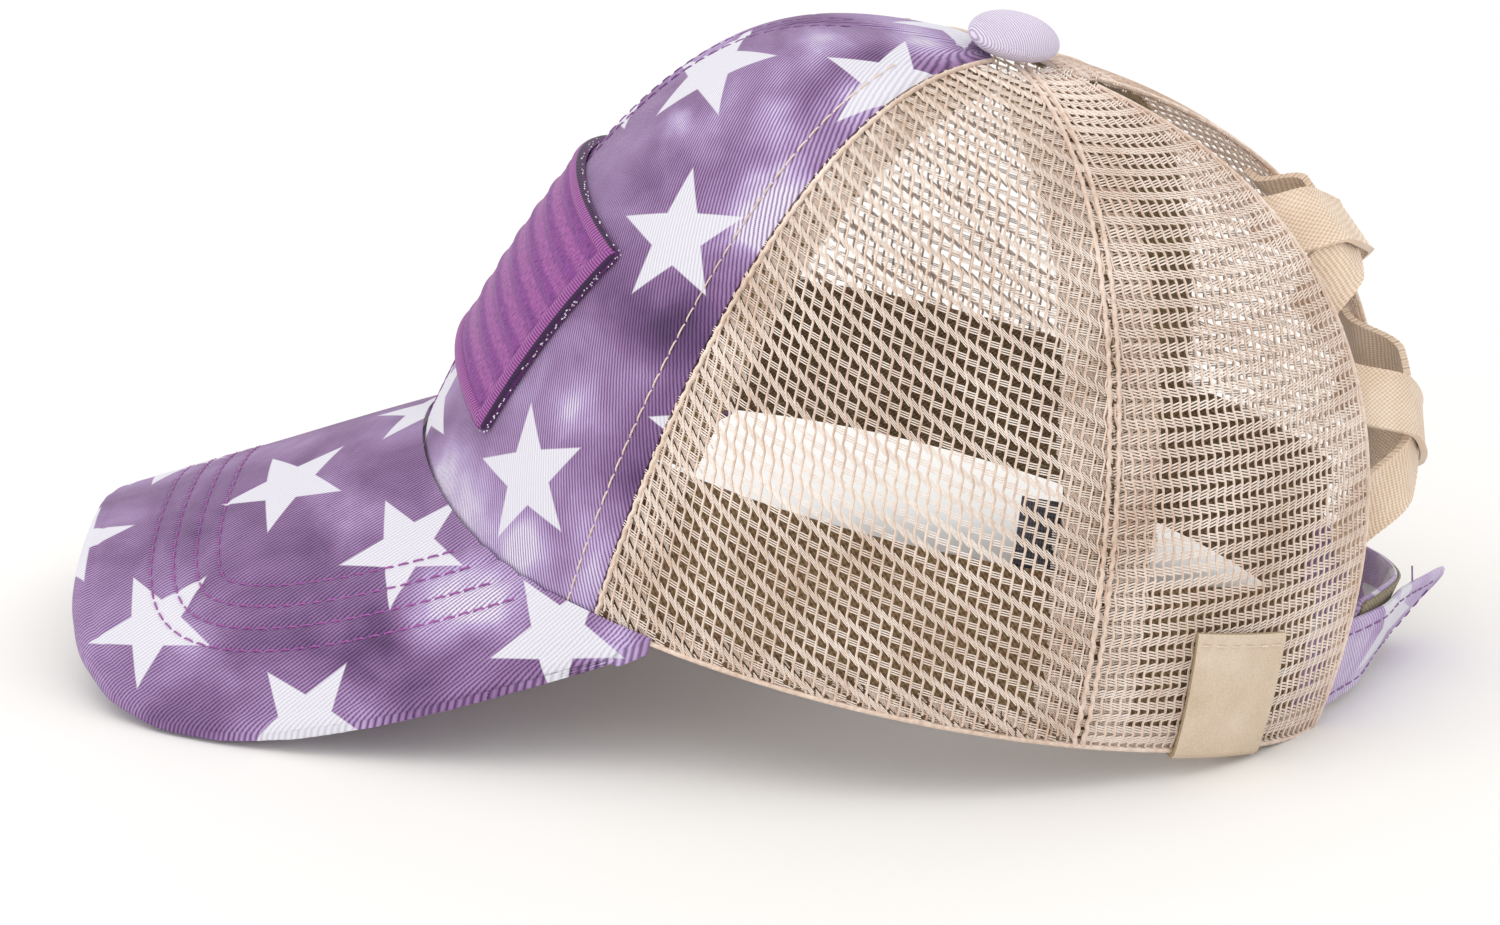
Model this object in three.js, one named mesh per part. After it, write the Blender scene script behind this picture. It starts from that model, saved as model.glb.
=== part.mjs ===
import * as THREE from "three";

// A child's ponytail baseball cap, in millimetres. It stands as it rests on a table: the brim
// points to -X, the wearer's left side to -Y and +Z is up. Every shape is worked out in the
// cap's own frame, where the rim lies near the plane z = 0, and the whole cap is then tipped
// back until the brim's two corners and the back of the rim stand on the table.

// Crown: an oval rim under six panels that meet at the top
const rimLength = 184;
const rimWidth = 142;
const crownHeight = 105.5;
const frontArchRise = 6.8; // how far the rim rises over the forehead
const frontArchEnd = 51; // degrees from the front where that rise is gone
const backDip = 2.6; // how far the rim's line dips towards the back
const frontSeamAngle = 57.5; // degrees from the front, seam of the twill and the net
const sideSeamAngle = 117.8; // degrees from the front, seam of the side and back net
const topHoleRadius = 4; // the panels stop here, under the button

// Cloth and clearances
const twillThickness = 1.2;
const netThickness = 1;
const clearance = 0.3; // between any two neighbouring pieces
const restPress = 1.2; // how far the soft rim is flattened where it stands

// Ponytail opening between the two back panels
const openingWidth = 52; // at the rim
const openingTop = 0.949; // share of the way from rim to top where it closes
const openingTaper = 0.7; // 1 is a straight V, smaller is rounder

// Brim
const brimReach = 58.6; // past the rim's foremost point
const brimRootAngle = 66; // degrees from the front where the brim's root ends
const brimThickness = 3.2;
const brimSlope = 0.624; // fall towards the front
const brimCurl = 0.0102; // fall towards the sides, per millimetre squared
const brimSquareness = 3.27; // 2 is an ellipse in plan, more is squarer
const brimTipLength = 6; // the brim's ends, along the rim
const brimOverlap = 1.4; // the brim's top face lies this far above the rim's edge
const brimLift = 2.6; // and rises this much more on its way out

// Sweatband and seam tapes inside
const sweatbandHeight = 32;
const sweatbandThickness = 1;
const tapeWidth = 15;
const tapeThickness = 0.6;
const tapeTopRadius = 9; // the tapes stop at this distance from the top

// Embroidered patch on the front
const patchWidth = 72;
const patchHeight = 47;
const patchBottom = 0.126; // share of the way from rim to top
const patchTop = 0.42;
const patchThickness = 1.6;
const patchRelief = 0.5; // how far border and raised stripes stand proud
const patchBorder = 4;
const patchStripes = 7; // raised stripes

// Crossed elastic bands over the opening
const elasticWidth = 10;
const elasticThickness = 1;
const elasticTuck = 5; // length hidden behind each panel's edge
const elasticRise = 5.2; // outer bands stand this far proud of the crown's line
const elasticBend = 0.55; // share of the opening over which they come out that far

// Closing strap, a long left half that laps over a short right half
const strapHeight = 18;
const strapThickness = 1.4;
const strapTuck = 5; // how far each half reaches in behind the hem
// Where the outer face's lower edge passes, and how far the upper edge leans out from it
const strapKnots = {
  left: [
    { x: 80.2, y: -31.5, z: 0.5, lean: 0 },
    { x: 83.2, y: -26.5, z: 0.8, lean: 0 },
    { x: 87, y: -20, z: 1.8, lean: 0.6 },
    { x: 91.8, y: -10, z: 3, lean: 2.2 },
    { x: 93.8, y: 0, z: 4, lean: 3.6 },
    { x: 95.6, y: 10, z: 4.2, lean: 6 },
    { x: 97.4, y: 21, z: 4, lean: 8.2 },
  ],
  right: [
    { x: 80.2, y: 31.5, z: 0.5, lean: 0 },
    { x: 83.2, y: 26.5, z: 0.8, lean: 0 },
    { x: 86.6, y: 20, z: 2.6, lean: 0.6 },
    { x: 90.3, y: 10, z: 4.8, lean: 2.2 },
    { x: 91.7, y: 0, z: 6, lean: 3.3 },
    { x: 90, y: -9, z: 5.2, lean: 2 },
    { x: 87.1, y: -16, z: 4.4, lean: 1.1 },
  ],
};

// Leather tag folded over the rim, and the care label inside
const tagWidth = 20;
const tagHeight = 24;
const tagInside = 9;
const tagThickness = 0.8;
const tagAngle = 137.5; // degrees from the front
const careLabelWidth = 10;
const careLabelHeight = 27;
const careLabelThickness = 0.6;
const careLabelAngle = 110;
const careLabelBottom = 18; // up the crown from the rim

// Button on top
const buttonRadius = 8.7;
const buttonHeight = 7.5;

const degrees = Math.PI / 180;
const quarterTurn = Math.PI / 2;
const mix = (a, b, t) => a + (b - a) * t;
const smooth = (t) => t * t * (3 - 2 * t);
const limit = (t) => Math.min(1, Math.max(0, t));
const vector = (x, y, z) => new THREE.Vector3(x, y, z);

// How the crown's outline runs from rim to top. spread is the power of the plan's fall, rise the
// power of the height, and bulge the share of the rim's radius that is added half way up.
const meridians = {
  front: { spread: 0.562, rise: 1.031, bulge: -0.185 },
  side: { spread: 0.892, rise: 1.388, bulge: 0.021 },
  back: { spread: 0.807, rise: 0.964, bulge: 0.129 },
};

function meridianAt(angle) {
  const lean = Math.cos(angle);
  const front = Math.max(0, lean) ** 2;
  const back = Math.max(0, -lean) ** 2;
  const side = 1 - front - back;
  const blend = (key) =>
    front * meridians.front[key] + side * meridians.side[key] + back * meridians.back[key];
  return { spread: blend("spread"), rise: blend("rise"), bulge: blend("bulge") };
}

// Height of the rim's line at an angle from the front.
function rimHeight(angle) {
  const arch = limit(Math.abs(angle) / (frontArchEnd * degrees));
  const dip = limit((Math.abs(angle) - 110 * degrees) / (70 * degrees));
  return frontArchRise * Math.cos(arch * quarterTurn) ** 2 - backDip * dip ** 2;
}

// A point of the crown's outer face. angle is counted from the front, positive on the wearer's
// left, and way runs from 0 at the rim to 1 at the top.
function crownPoint(angle, way) {
  const { spread, rise, bulge } = meridianAt(angle);
  const turn = Math.min(way, 1) * quarterTurn;
  const across = Math.max(0, Math.cos(turn));
  const up = Math.max(0, Math.sin(turn));
  const share = across ** spread + bulge * up * across;
  const bottom = rimHeight(angle);
  return vector(
    (-rimLength / 2) * Math.cos(angle) * share,
    (-rimWidth / 2) * Math.sin(angle) * share,
    bottom + (crownHeight - bottom) * up ** rise,
  );
}

const radiusAt = (angle, way) => Math.hypot(crownPoint(angle, way).x, crownPoint(angle, way).y);

// The way up at which a test turns from false to true.
function findWay(isPast) {
  let low = 0;
  let high = 1;
  for (let step = 0; step < 40; step++) {
    const middle = (low + high) / 2;
    if (isPast(middle)) high = middle;
    else low = middle;
  }
  return high;
}

const wayAtRadius = (angle, radius) =>
  mix(0.5, 1, findWay((t) => radiusAt(angle, mix(0.5, 1, t)) < radius));

// The way up that lies a given length from the rim, measured on the cloth.
function wayAtLength(angle, length) {
  const step = 0.005;
  let way = 0;
  let walked = 0;
  while (way < 1) {
    const next = crownPoint(angle, way).distanceTo(crownPoint(angle, way + step));
    if (walked + next > length) return way + (step * (length - walked)) / next;
    walked += next;
    way += step;
  }
  return 1;
}

// Half the opening's width at a way up, down to the gap of the seam above it.
function openingHalf(way) {
  const share = limit(1 - way / openingTop);
  return Math.max(clearance / 2, (openingWidth / 2) * share ** openingTaper);
}

// The angle at which the opening's edge lies, for the left panel.
function openingAngle(way) {
  let low = 90 * degrees;
  let high = 180 * degrees;
  for (let step = 0; step < 40; step++) {
    const middle = (low + high) / 2;
    if (-crownPoint(middle, way).y > openingHalf(way)) low = middle;
    else high = middle;
  }
  return low;
}

// The cap rests on the brim's corners and the back of the rim: the tip back that brings both
// to one height is found by halving, and the drop then puts that height on the table.
const rootAngle = brimRootAngle * degrees;
const rimCorner = crownPoint(openingAngle(0), 0);

function brimOutline(across) {
  const turn = across * quarterTurn;
  const power = 2 / brimSquareness;
  const sideX = (rimLength / 2) * Math.cos(rootAngle) + brimTipLength;
  const x = -sideX - (rimLength / 2 + brimReach - sideX) * Math.abs(Math.cos(turn)) ** power;
  const half = (rimWidth / 2) * Math.sin(rootAngle);
  const y = -half * Math.sign(across) * Math.abs(Math.sin(turn)) ** power;
  return vector(x, y, brimTop(x, y));
}

function brimTop(x, y) {
  return frontArchRise + brimLift + brimSlope * (x + rimLength / 2) - brimCurl * y * y;
}

const heightTipped = (point, tip) => -Math.sin(tip) * point.x + Math.cos(tip) * point.z;

function lowestBrim(tip) {
  let lowest = Infinity;
  for (let across = 0; across <= 1; across += 0.01) {
    const under = brimOutline(across);
    under.z -= brimThickness;
    lowest = Math.min(lowest, heightTipped(under, tip));
  }
  return lowest;
}

function findTip() {
  let low = 0;
  let high = 30 * degrees;
  for (let step = 0; step < 40; step++) {
    const tip = (low + high) / 2;
    if (lowestBrim(tip) < heightTipped(rimCorner, tip) + restPress) low = tip;
    else high = tip;
  }
  return low;
}

const tipBack = findTip();
const tableHeight = lowestBrim(tipBack);
const tableUp = vector(-Math.sin(tipBack), 0, Math.cos(tipBack));

// Flattens what would lie below the table.
function pressed(point) {
  const below = tableHeight - heightTipped(point, tipBack);
  return below > 0 ? point.addScaledVector(tableUp, below) : point;
}

// A closed solid between two faces of a sheet: at(u, w, side) gives the point of either face.
function slab(rows, columns, at) {
  const points = [];
  for (const side of [0, 1])
    for (let row = 0; row <= rows; row++)
      for (let column = 0; column <= columns; column++)
        points.push(...pressed(at(row / rows, column / columns, side)).toArray());
  const index = (side, row, column) => (side * (rows + 1) + row) * (columns + 1) + column;
  const faces = [];
  const quad = (a, b, c, d) => faces.push(a, b, c, a, c, d);
  for (let row = 0; row < rows; row++)
    for (let column = 0; column < columns; column++) {
      quad(
        index(0, row, column),
        index(0, row, column + 1),
        index(0, row + 1, column + 1),
        index(0, row + 1, column),
      );
      quad(
        index(1, row, column),
        index(1, row + 1, column),
        index(1, row + 1, column + 1),
        index(1, row, column + 1),
      );
    }
  for (let row = 0; row < rows; row++) {
    quad(index(0, row, 0), index(0, row + 1, 0), index(1, row + 1, 0), index(1, row, 0));
    quad(
      index(0, row + 1, columns),
      index(0, row, columns),
      index(1, row, columns),
      index(1, row + 1, columns),
    );
  }
  for (let column = 0; column < columns; column++) {
    quad(index(0, 0, column + 1), index(0, 0, column), index(1, 0, column), index(1, 0, column + 1));
    quad(
      index(0, rows, column),
      index(0, rows, column + 1),
      index(1, rows, column + 1),
      index(1, rows, column),
    );
  }
  return outwards(points, faces);
}

// Turns every face round when the solid came out inside out.
function outwards(points, faces) {
  const corner = (i) => vector(points[3 * i], points[3 * i + 1], points[3 * i + 2]);
  let volume = 0;
  for (let i = 0; i < faces.length; i += 3)
    volume += corner(faces[i]).dot(corner(faces[i + 1]).cross(corner(faces[i + 2])));
  if (volume < 0)
    for (let i = 0; i < faces.length; i += 3)
      [faces[i + 1], faces[i + 2]] = [faces[i + 2], faces[i + 1]];
  const geometry = new THREE.BufferGeometry();
  geometry.setAttribute("position", new THREE.Float32BufferAttribute(points, 3));
  geometry.setIndex(faces);
  return geometry;
}

// The direction out of a sheet, from its own slopes. centre tells out from in.
function sheetNormal(sheet, u, w, centre) {
  const step = 0.02;
  const along = sheet(Math.min(1, u + step), w).sub(sheet(Math.max(0, u - step), w));
  const across = sheet(u, Math.min(1, w + step)).sub(sheet(u, Math.max(0, w - step)));
  const normal = along.cross(across).normalize();
  return normal.dot(sheet(u, w).sub(centre)) < 0 ? normal.negate() : normal;
}

const crownCentre = vector(0, 0, crownHeight * 0.3);

// A sheet of cloth between two depths below a sheet on the crown; depth grows inwards.
function cloth(sheet, rows, columns, outerDepth, innerDepth) {
  return slab(rows, columns, (u, w, side) => {
    const depth = side ? innerDepth : outerDepth;
    const amount = typeof depth === "function" ? depth(u, w) : depth;
    return sheet(u, w).addScaledVector(sheetNormal(sheet, u, w, crownCentre), -amount);
  });
}

// Pieces are added one by one, each with its finish.
const cap = new THREE.Group();
const finishes = {
  twill: { color: 0x7d568f, roughness: 0.9 },
  net: { color: 0xd9c3a7, roughness: 0.7 },
  lining: { color: 0x9c8466, roughness: 0.95 },
  elastic: { color: 0xd8bd93, roughness: 0.85 },
  patch: { color: 0x7a2f85, roughness: 0.6 },
  leather: { color: 0xd8c3a0, roughness: 0.8 },
  label: { color: 0x3c3b3d, roughness: 0.7 },
};

function add(name, finish, geometry) {
  const material = new THREE.MeshStandardMaterial({ ...finishes[finish], metalness: 0 });
  const mesh = new THREE.Mesh(geometry, material);
  mesh.name = name;
  cap.add(mesh);
  return mesh;
}

// One panel between two seams, given as angles by the way up. The rows crowd towards the top,
// where the crown turns fastest.
function panelSheet(side, firstSeam, secondSeam) {
  return (u, w) => {
    let angle = mix(firstSeam(0), secondSeam(0), w);
    let way = 0;
    for (let round = 0; round < 5; round++) {
      way = wayAtRadius(angle, topHoleRadius) * (1 - (1 - u) ** 1.7);
      const half = (clearance + 0.1) / 2 / Math.max(topHoleRadius, radiusAt(angle, way));
      angle = mix(firstSeam(way) + half, secondSeam(way) - half, w);
    }
    return crownPoint(side * angle, way);
  };
}

const seamAt = (angle) => () => angle * degrees;
const panelRows = 18;
const panelColumns = 10;
for (const [sideName, side] of [["left", 1], ["right", -1]]) {
  const panels = [
    ["front_panel", "twill", seamAt(0), seamAt(frontSeamAngle), twillThickness],
    ["side_panel", "net", seamAt(frontSeamAngle), seamAt(sideSeamAngle), netThickness],
    ["back_panel", "net", seamAt(sideSeamAngle), openingAngle, netThickness],
  ];
  for (const [name, finish, first, second, thickness] of panels)
    add(
      `${name}_${sideName}`,
      finish,
      cloth(panelSheet(side, first, second), panelRows, panelColumns, 0, thickness),
    );
}

// The brim: a stiff board in twill. It leaves the rim and falls forwards and to both sides.
function brimSheet(u, w) {
  const across = mix(-1, 1, w);
  const angle = across * rootAngle;
  const root = crownPoint(angle, 0);
  const stand = 1 + (2 * clearance) / rimWidth;
  const edge = brimOutline(across);
  const x = mix(root.x * stand, edge.x, u);
  const y = mix(root.y * stand, edge.y, u);
  const rootStep = root.z + brimOverlap - brimTop(root.x * stand, root.y * stand);
  return vector(x, y, brimTop(x, y) + rootStep * (1 - u) ** 2);
}

add(
  "brim",
  "twill",
  slab(8, 30, (u, w, side) => {
    const point = brimSheet(u, w);
    point.z -= side ? brimThickness : 0;
    return point;
  }),
);

// Inside the rim: a sweatband all round, open at the back where the strap starts
const faceting = 0.2; // flat faces lie this far off the true curve at most
const liningDepth = Math.max(twillThickness, netThickness) + clearance + faceting;
const edgeAngle = openingAngle(0) - (strapTuck + 6) / radiusAt(openingAngle(0), 0);

function sweatbandSheet(u, w) {
  const angle = mix(-edgeAngle, edgeAngle, w);
  return crownPoint(angle, u * wayAtLength(angle, sweatbandHeight));
}

add(
  "sweatband",
  "lining",
  cloth(sweatbandSheet, 3, 64, liningDepth, liningDepth + sweatbandThickness),
);

// Tapes cover the seams that show through the net
function tapeSheet(angle) {
  const top = wayAtRadius(angle, tapeTopRadius);
  const halfAt = (way) => {
    const radius = radiusAt(angle, way);
    return Math.min(tapeWidth / 2, radius * Math.tan(25 * degrees)) / radius;
  };
  const lowest = wayAtLength(angle, sweatbandHeight);
  return (u, w) => {
    const low = angle + (2 * w - 1) * halfAt(lowest);
    const bottom = wayAtLength(low, sweatbandHeight + 3 * clearance);
    const way = mix(bottom, top, 1 - (1 - u) ** 1.5);
    return crownPoint(angle + (2 * w - 1) * halfAt(way), way);
  };
}

for (const [name, angle] of [
  ["front_seam_tape_left", frontSeamAngle],
  ["side_seam_tape_left", sideSeamAngle],
  ["front_seam_tape_right", -frontSeamAngle],
  ["side_seam_tape_right", -sideSeamAngle],
])
  add(
    name,
    "lining",
    cloth(tapeSheet(angle * degrees), 16, 2, liningDepth, liningDepth + tapeThickness),
  );

// The patch, with a raised border round raised and sunk stripes
function patchSheet(u, w) {
  const way = mix(patchBottom, patchTop, u);
  const near = 0.3;
  const perRadian = crownPoint(near + 0.01, way).distanceTo(crownPoint(near - 0.01, way)) / 0.02;
  return crownPoint(-((w - 0.5) * patchWidth) / perRadian, way);
}

function patchRise(u, w) {
  const fromEdge = Math.min(
    Math.min(u, 1 - u) * patchHeight,
    Math.min(w, 1 - w) * patchWidth,
  );
  const stripe = Math.floor(u * (2 * patchStripes + 1)) % 2;
  const raised = fromEdge < patchBorder || stripe;
  return -(patchThickness + clearance + faceting) - (raised ? patchRelief : 0);
}

add(
  "front_patch",
  "patch",
  cloth(patchSheet, 30, 8, patchRise, -clearance - faceting),
);

// Elastic bands: each leaves one panel's edge and reaches the other one lower down
const lacing = [
  // name, which side is the upper end, upper and lower way, and whether it lies on top
  { name: "elastic_upper_outer", from: 1, upper: 0.685, lower: 0.528, onTop: true },
  { name: "elastic_upper_inner", from: -1, upper: 0.685, lower: 0.528, onTop: false },
  { name: "elastic_lower_outer", from: 1, upper: 0.44, lower: 0.225, onTop: true },
  { name: "elastic_lower_inner", from: -1, upper: 0.44, lower: 0.225, onTop: false },
];

function elasticBand({ from, upper, lower, onTop }) {
  const start = openingAngle(upper) - elasticTuck / radiusAt(Math.PI, upper);
  const end = 2 * Math.PI - openingAngle(lower) + elasticTuck / radiusAt(Math.PI, lower);
  const under = onTop ? 0 : elasticThickness + 2 * clearance;
  const tucked = -(netThickness + clearance + 2 * faceting) - under;
  const proud = elasticRise - under;
  const line = (t) => crownPoint(from * mix(start, end, t), mix(upper, lower, t));
  return slab(20, 3, (u, w, side) => {
    const way = mix(upper, lower, u);
    const near = (a, b) => crownPoint(from * mix(start, end, u) + (b - 0.5) * 0.1, way + (a - 0.5) * 0.05);
    const normal = sheetNormal(near, 0.5, 0.5, crownCentre);
    const run = line(u + 0.02).sub(line(u - 0.02)).normalize();
    const place = line(u).addScaledVector(run.cross(normal).normalize(), (w - 0.5) * elasticWidth);
    const climb = (crownPoint(Math.PI, way + 0.01).z - crownPoint(Math.PI, way).z) / 0.01;
    const wayHere = way + (place.z - line(u).z) / climb;
    const fromEdge = openingHalf(wayHere) - Math.abs(place.y);
    const lift = mix(tucked, proud, smooth(limit((fromEdge - 1) / (openingHalf(wayHere) * elasticBend))));
    return place.addScaledVector(normal, lift - (side ? elasticThickness : 0));
  });
}

for (const band of lacing) add(band.name, "elastic", elasticBand(band));

// The strap closes the rim behind the opening, the left half outside the right one
function strapSheet(knots) {
  const line = (points) => new THREE.CatmullRomCurve3(points, false, "catmullrom");
  const lower = line(knots.map(({ x, y, z }) => vector(x, y, z)));
  const upper = line(
    knots.map(({ x, y, z, lean }) =>
      vector(x + lean, y, z + Math.sqrt(strapHeight ** 2 - lean ** 2)),
    ),
  );
  return (u, w) => lower.getPoint(limit(u)).lerp(upper.getPoint(limit(u)), w);
}

for (const [sideName, knots] of Object.entries(strapKnots))
  add(
    `strap_${sideName}`,
    "twill",
    cloth(strapSheet(knots), 18, 3, 0, strapThickness),
  );

// The leather tag: down the outside, under the rim and up the inside
const tagOutDepth = -(clearance + faceting + tagThickness);
const tagInDepth = liningDepth + sweatbandThickness + clearance + faceting + tagThickness;

function tagPoint(t, w, side) {
  const across = tagInDepth - tagOutDepth;
  const walked = t * (tagHeight + across + tagInside) - tagHeight;
  const up = Math.max(0, -walked, walked - across);
  const depth = tagOutDepth + Math.min(across, Math.max(0, walked));
  const half = tagWidth / 2 / radiusAt(tagAngle * degrees, 0);
  const angle = tagAngle * degrees + mix(-half, half, w);
  const sheet = (a, b) => crownPoint(angle + (b - 0.5) * 0.1, limit(a) * 0.16);
  const normal = sheetNormal(sheet, 0.5, 0.5, crownCentre);
  const place = crownPoint(angle, wayAtLength(angle, up));
  const inner = side ? tagThickness : 0;
  const tiny = 1e-6;
  let inwards = depth;
  if (walked < tiny) inwards += inner;
  if (walked > across - tiny) inwards -= inner;
  place.addScaledVector(normal, -inwards);
  if (up < tiny) place.z -= clearance + tagThickness - inner;
  return place;
}

const tagRows = 14;
function tagRow(row) {
  // rows fall on the two folds, so that neither is cut off
  const across = tagInDepth - tagOutDepth;
  const whole = tagHeight + across + tagInside;
  const folds = [0, tagHeight / whole, (tagHeight + across) / whole, 1];
  const counts = [8, 2, 4];
  let first = 0;
  for (let part = 0; part < counts.length; part++) {
    if (row <= first + counts[part])
      return mix(folds[part], folds[part + 1], (row - first) / counts[part]);
    first += counts[part];
  }
  return 1;
}

add(
  "leather_tag",
  "leather",
  slab(tagRows, 4, (u, w, side) => tagPoint(tagRow(Math.round(u * tagRows)), w, side)),
);

// The care label stands up from inside the sweatband
function careLabelSheet(u, w) {
  const angle = careLabelAngle * degrees;
  const half = careLabelWidth / 2 / radiusAt(angle, 0);
  const here = angle + mix(-half, half, w);
  return crownPoint(here, wayAtLength(here, careLabelBottom + u * careLabelHeight));
}

const labelDepth = liningDepth + sweatbandThickness + clearance + faceting;
add(
  "care_label",
  "label",
  cloth(careLabelSheet, 6, 2, labelDepth, labelDepth + careLabelThickness),
);

// The button: a covered dome over the hole where the panels meet
const domeSteps = 7;
const profile = [new THREE.Vector2(0, 0)];
for (let step = 0; step < domeSteps; step++) {
  const turn = (step / domeSteps) * quarterTurn;
  const round = 0.8; // squarer than a ball
  profile.push(
    new THREE.Vector2(
      buttonRadius * Math.cos(turn) ** round,
      buttonHeight * (0.12 + 0.88 * Math.sin(turn)) - (step ? 0 : buttonHeight * 0.12),
    ),
  );
}
profile.push(new THREE.Vector2(0, buttonHeight));
const button = add("button", "twill", new THREE.LatheGeometry(profile, 20));
button.rotation.x = quarterTurn;
button.position.set(0, 0, crownHeight + clearance);

// Tip the cap back and stand it on the table, its outline centred over the origin.
cap.rotation.y = tipBack;
cap.position.z = -tableHeight;
cap.updateMatrixWorld(true);
const outline = new THREE.Box3().setFromObject(cap, true);
cap.position.x -= (outline.min.x + outline.max.x) / 2;
cap.position.y -= (outline.min.y + outline.max.y) / 2;

export default cap;
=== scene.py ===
import math

import bmesh
import bpy
import numpy as np
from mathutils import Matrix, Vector


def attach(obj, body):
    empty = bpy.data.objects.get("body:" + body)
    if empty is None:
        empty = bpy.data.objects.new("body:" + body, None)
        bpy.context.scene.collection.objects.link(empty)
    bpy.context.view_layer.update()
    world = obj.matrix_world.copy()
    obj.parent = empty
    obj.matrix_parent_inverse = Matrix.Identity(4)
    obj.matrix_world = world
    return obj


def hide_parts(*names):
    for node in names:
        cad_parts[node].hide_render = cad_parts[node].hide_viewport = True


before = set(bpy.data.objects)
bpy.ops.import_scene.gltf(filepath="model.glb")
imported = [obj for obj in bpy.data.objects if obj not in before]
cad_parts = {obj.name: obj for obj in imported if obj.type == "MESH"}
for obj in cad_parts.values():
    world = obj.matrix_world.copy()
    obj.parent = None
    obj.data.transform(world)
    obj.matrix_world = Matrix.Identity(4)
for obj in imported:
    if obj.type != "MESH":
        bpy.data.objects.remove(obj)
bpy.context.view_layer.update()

print("frame loaded")

# Lengths are in millimetres, in the cap's own frame: the rim lies near z = 0, the brim points to -X
# and an angle is counted from the front, positive on the wearer's left, which is -Y.
mm = 0.001
cap = dict(
    rimLength=184, rimWidth=142, crownHeight=105.5,
    archRise=6.8, archEnd=51, backDip=2.6,  # the rim rises over the forehead and dips at the back
    frontSeam=57.5, sideSeam=117.8, topHole=4,
    openingWidth=52, openingTop=0.949, openingTaper=0.7,
    seamGap=0.3,
    tip=12.2848, forward=23.174, up=18.236,  # how it lies on the table
)
meridians = dict(
    front=(0.562, 1.031, -0.185),  # spread, rise and bulge of the line from rim to top
    side=(0.892, 1.388, 0.021),
    back=(0.807, 0.964, 0.129),
)
depths = dict(twill=1.2, net=1, lining=1.7)  # how thick, and how deep inside the lining lies
halfTurn = math.pi


# The cap's surface

def mix(a, b, t):
    return a + (b - a) * t


def smooth(t):
    t = np.clip(t, 0, 1)
    return t * t * (3 - 2 * t)


def ridge(distance, width):
    return np.exp(-((distance / width) ** 2))


def unit(v):
    return v / np.maximum(np.linalg.norm(v, axis=-1, keepdims=True), 1e-9)


def rimHeight(angle):
    arch = np.clip(abs(angle) / math.radians(cap["archEnd"]), 0, 1)
    dip = np.clip((abs(angle) - math.radians(110)) / math.radians(70), 0, 1)
    return cap["archRise"] * np.cos(arch * halfTurn / 2) ** 2 - cap["backDip"] * dip ** 2


def crown(angle, way):
    angle, way = np.broadcast_arrays(np.asarray(angle, float), np.asarray(way, float))
    angle = (angle + halfTurn) % (2 * halfTurn) - halfTurn
    front = np.maximum(0, np.cos(angle)) ** 2
    back = np.maximum(0, -np.cos(angle)) ** 2
    side = 1 - front - back
    spread, rise, bulge = (
        front * f + side * s + back * b
        for f, s, b in zip(meridians["front"], meridians["side"], meridians["back"])
    )
    turn = np.clip(way, 0, 1) * halfTurn / 2
    across, up = np.maximum(0, np.cos(turn)), np.sin(turn)
    share = across ** spread + bulge * up * across
    bottom = rimHeight(angle)
    return np.stack((
        -cap["rimLength"] / 2 * np.cos(angle) * share,
        -cap["rimWidth"] / 2 * np.sin(angle) * share,
        bottom + (cap["crownHeight"] - bottom) * up ** rise,
    ), -1)


def crownNormal(angle, way):
    step = 0.01
    along = crown(angle + step, np.clip(way, 0, 0.99)) - crown(angle - step, np.clip(way, 0, 0.99))
    upward = crown(angle, np.clip(way + step, 0, 0.995)) - crown(angle, np.clip(way - step, 0, 0.975))
    normal = unit(np.cross(along, upward))
    outwards = crown(angle, way) - (0, 0, cap["crownHeight"] * 0.3)
    return normal * np.sign((normal * outwards).sum(-1, keepdims=True))


def lifted(angle, way, lift):
    lift = np.broadcast_to(lift, np.broadcast(angle, way).shape)
    return crown(angle, way) + crownNormal(angle, way) * lift[..., None]


def radiusAt(angle, way):
    return np.linalg.norm(crown(angle, way)[..., :2], axis=-1)


def halving(low, high, isPast, rounds=26):
    low, high = np.array(low, float), np.array(high, float)
    for _ in range(rounds):
        middle = (low + high) / 2
        past = isPast(middle)
        high = np.where(past, middle, high)
        low = np.where(past, low, middle)
    return high


def wayAtRadius(angle, radius):
    angles = np.linspace(-halfTurn, halfTurn, 181)
    ways = halving(angles * 0 + 0.5, angles * 0 + 1, lambda way: radiusAt(angles, way) < radius)
    return np.interp((angle + halfTurn) % (2 * halfTurn) - halfTurn, angles, ways)


def openingHalf(way):
    share = np.clip(1 - way / cap["openingTop"], 0, 1)
    return np.maximum(cap["seamGap"] / 2, cap["openingWidth"] / 2 * share ** cap["openingTaper"])


def openingAngle(way):
    way = np.asarray(way, float)
    return halving(way * 0 + halfTurn / 2, way * 0 + halfTurn,
                   lambda angle: -crown(angle, way)[..., 1] < openingHalf(way))


lengthWays = np.linspace(0, 1, 161)


def clothLength(angle, way):  # from the rim up, measured on the cloth
    line = crown(np.asarray(angle, float)[..., None], lengthWays)
    steps = np.linalg.norm(np.diff(line, axis=-2), axis=-1)
    run = np.concatenate((np.zeros(steps.shape[:-1] + (1,)), np.cumsum(steps, -1)), -1)
    place = np.clip(np.asarray(way) * (len(lengthWays) - 1), 0, len(lengthWays) - 1.001)
    low = place.astype(int)
    take = lambda i: np.take_along_axis(run, i[..., None], -1)[..., 0]
    return mix(take(low), take(low + 1), place - low)


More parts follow.
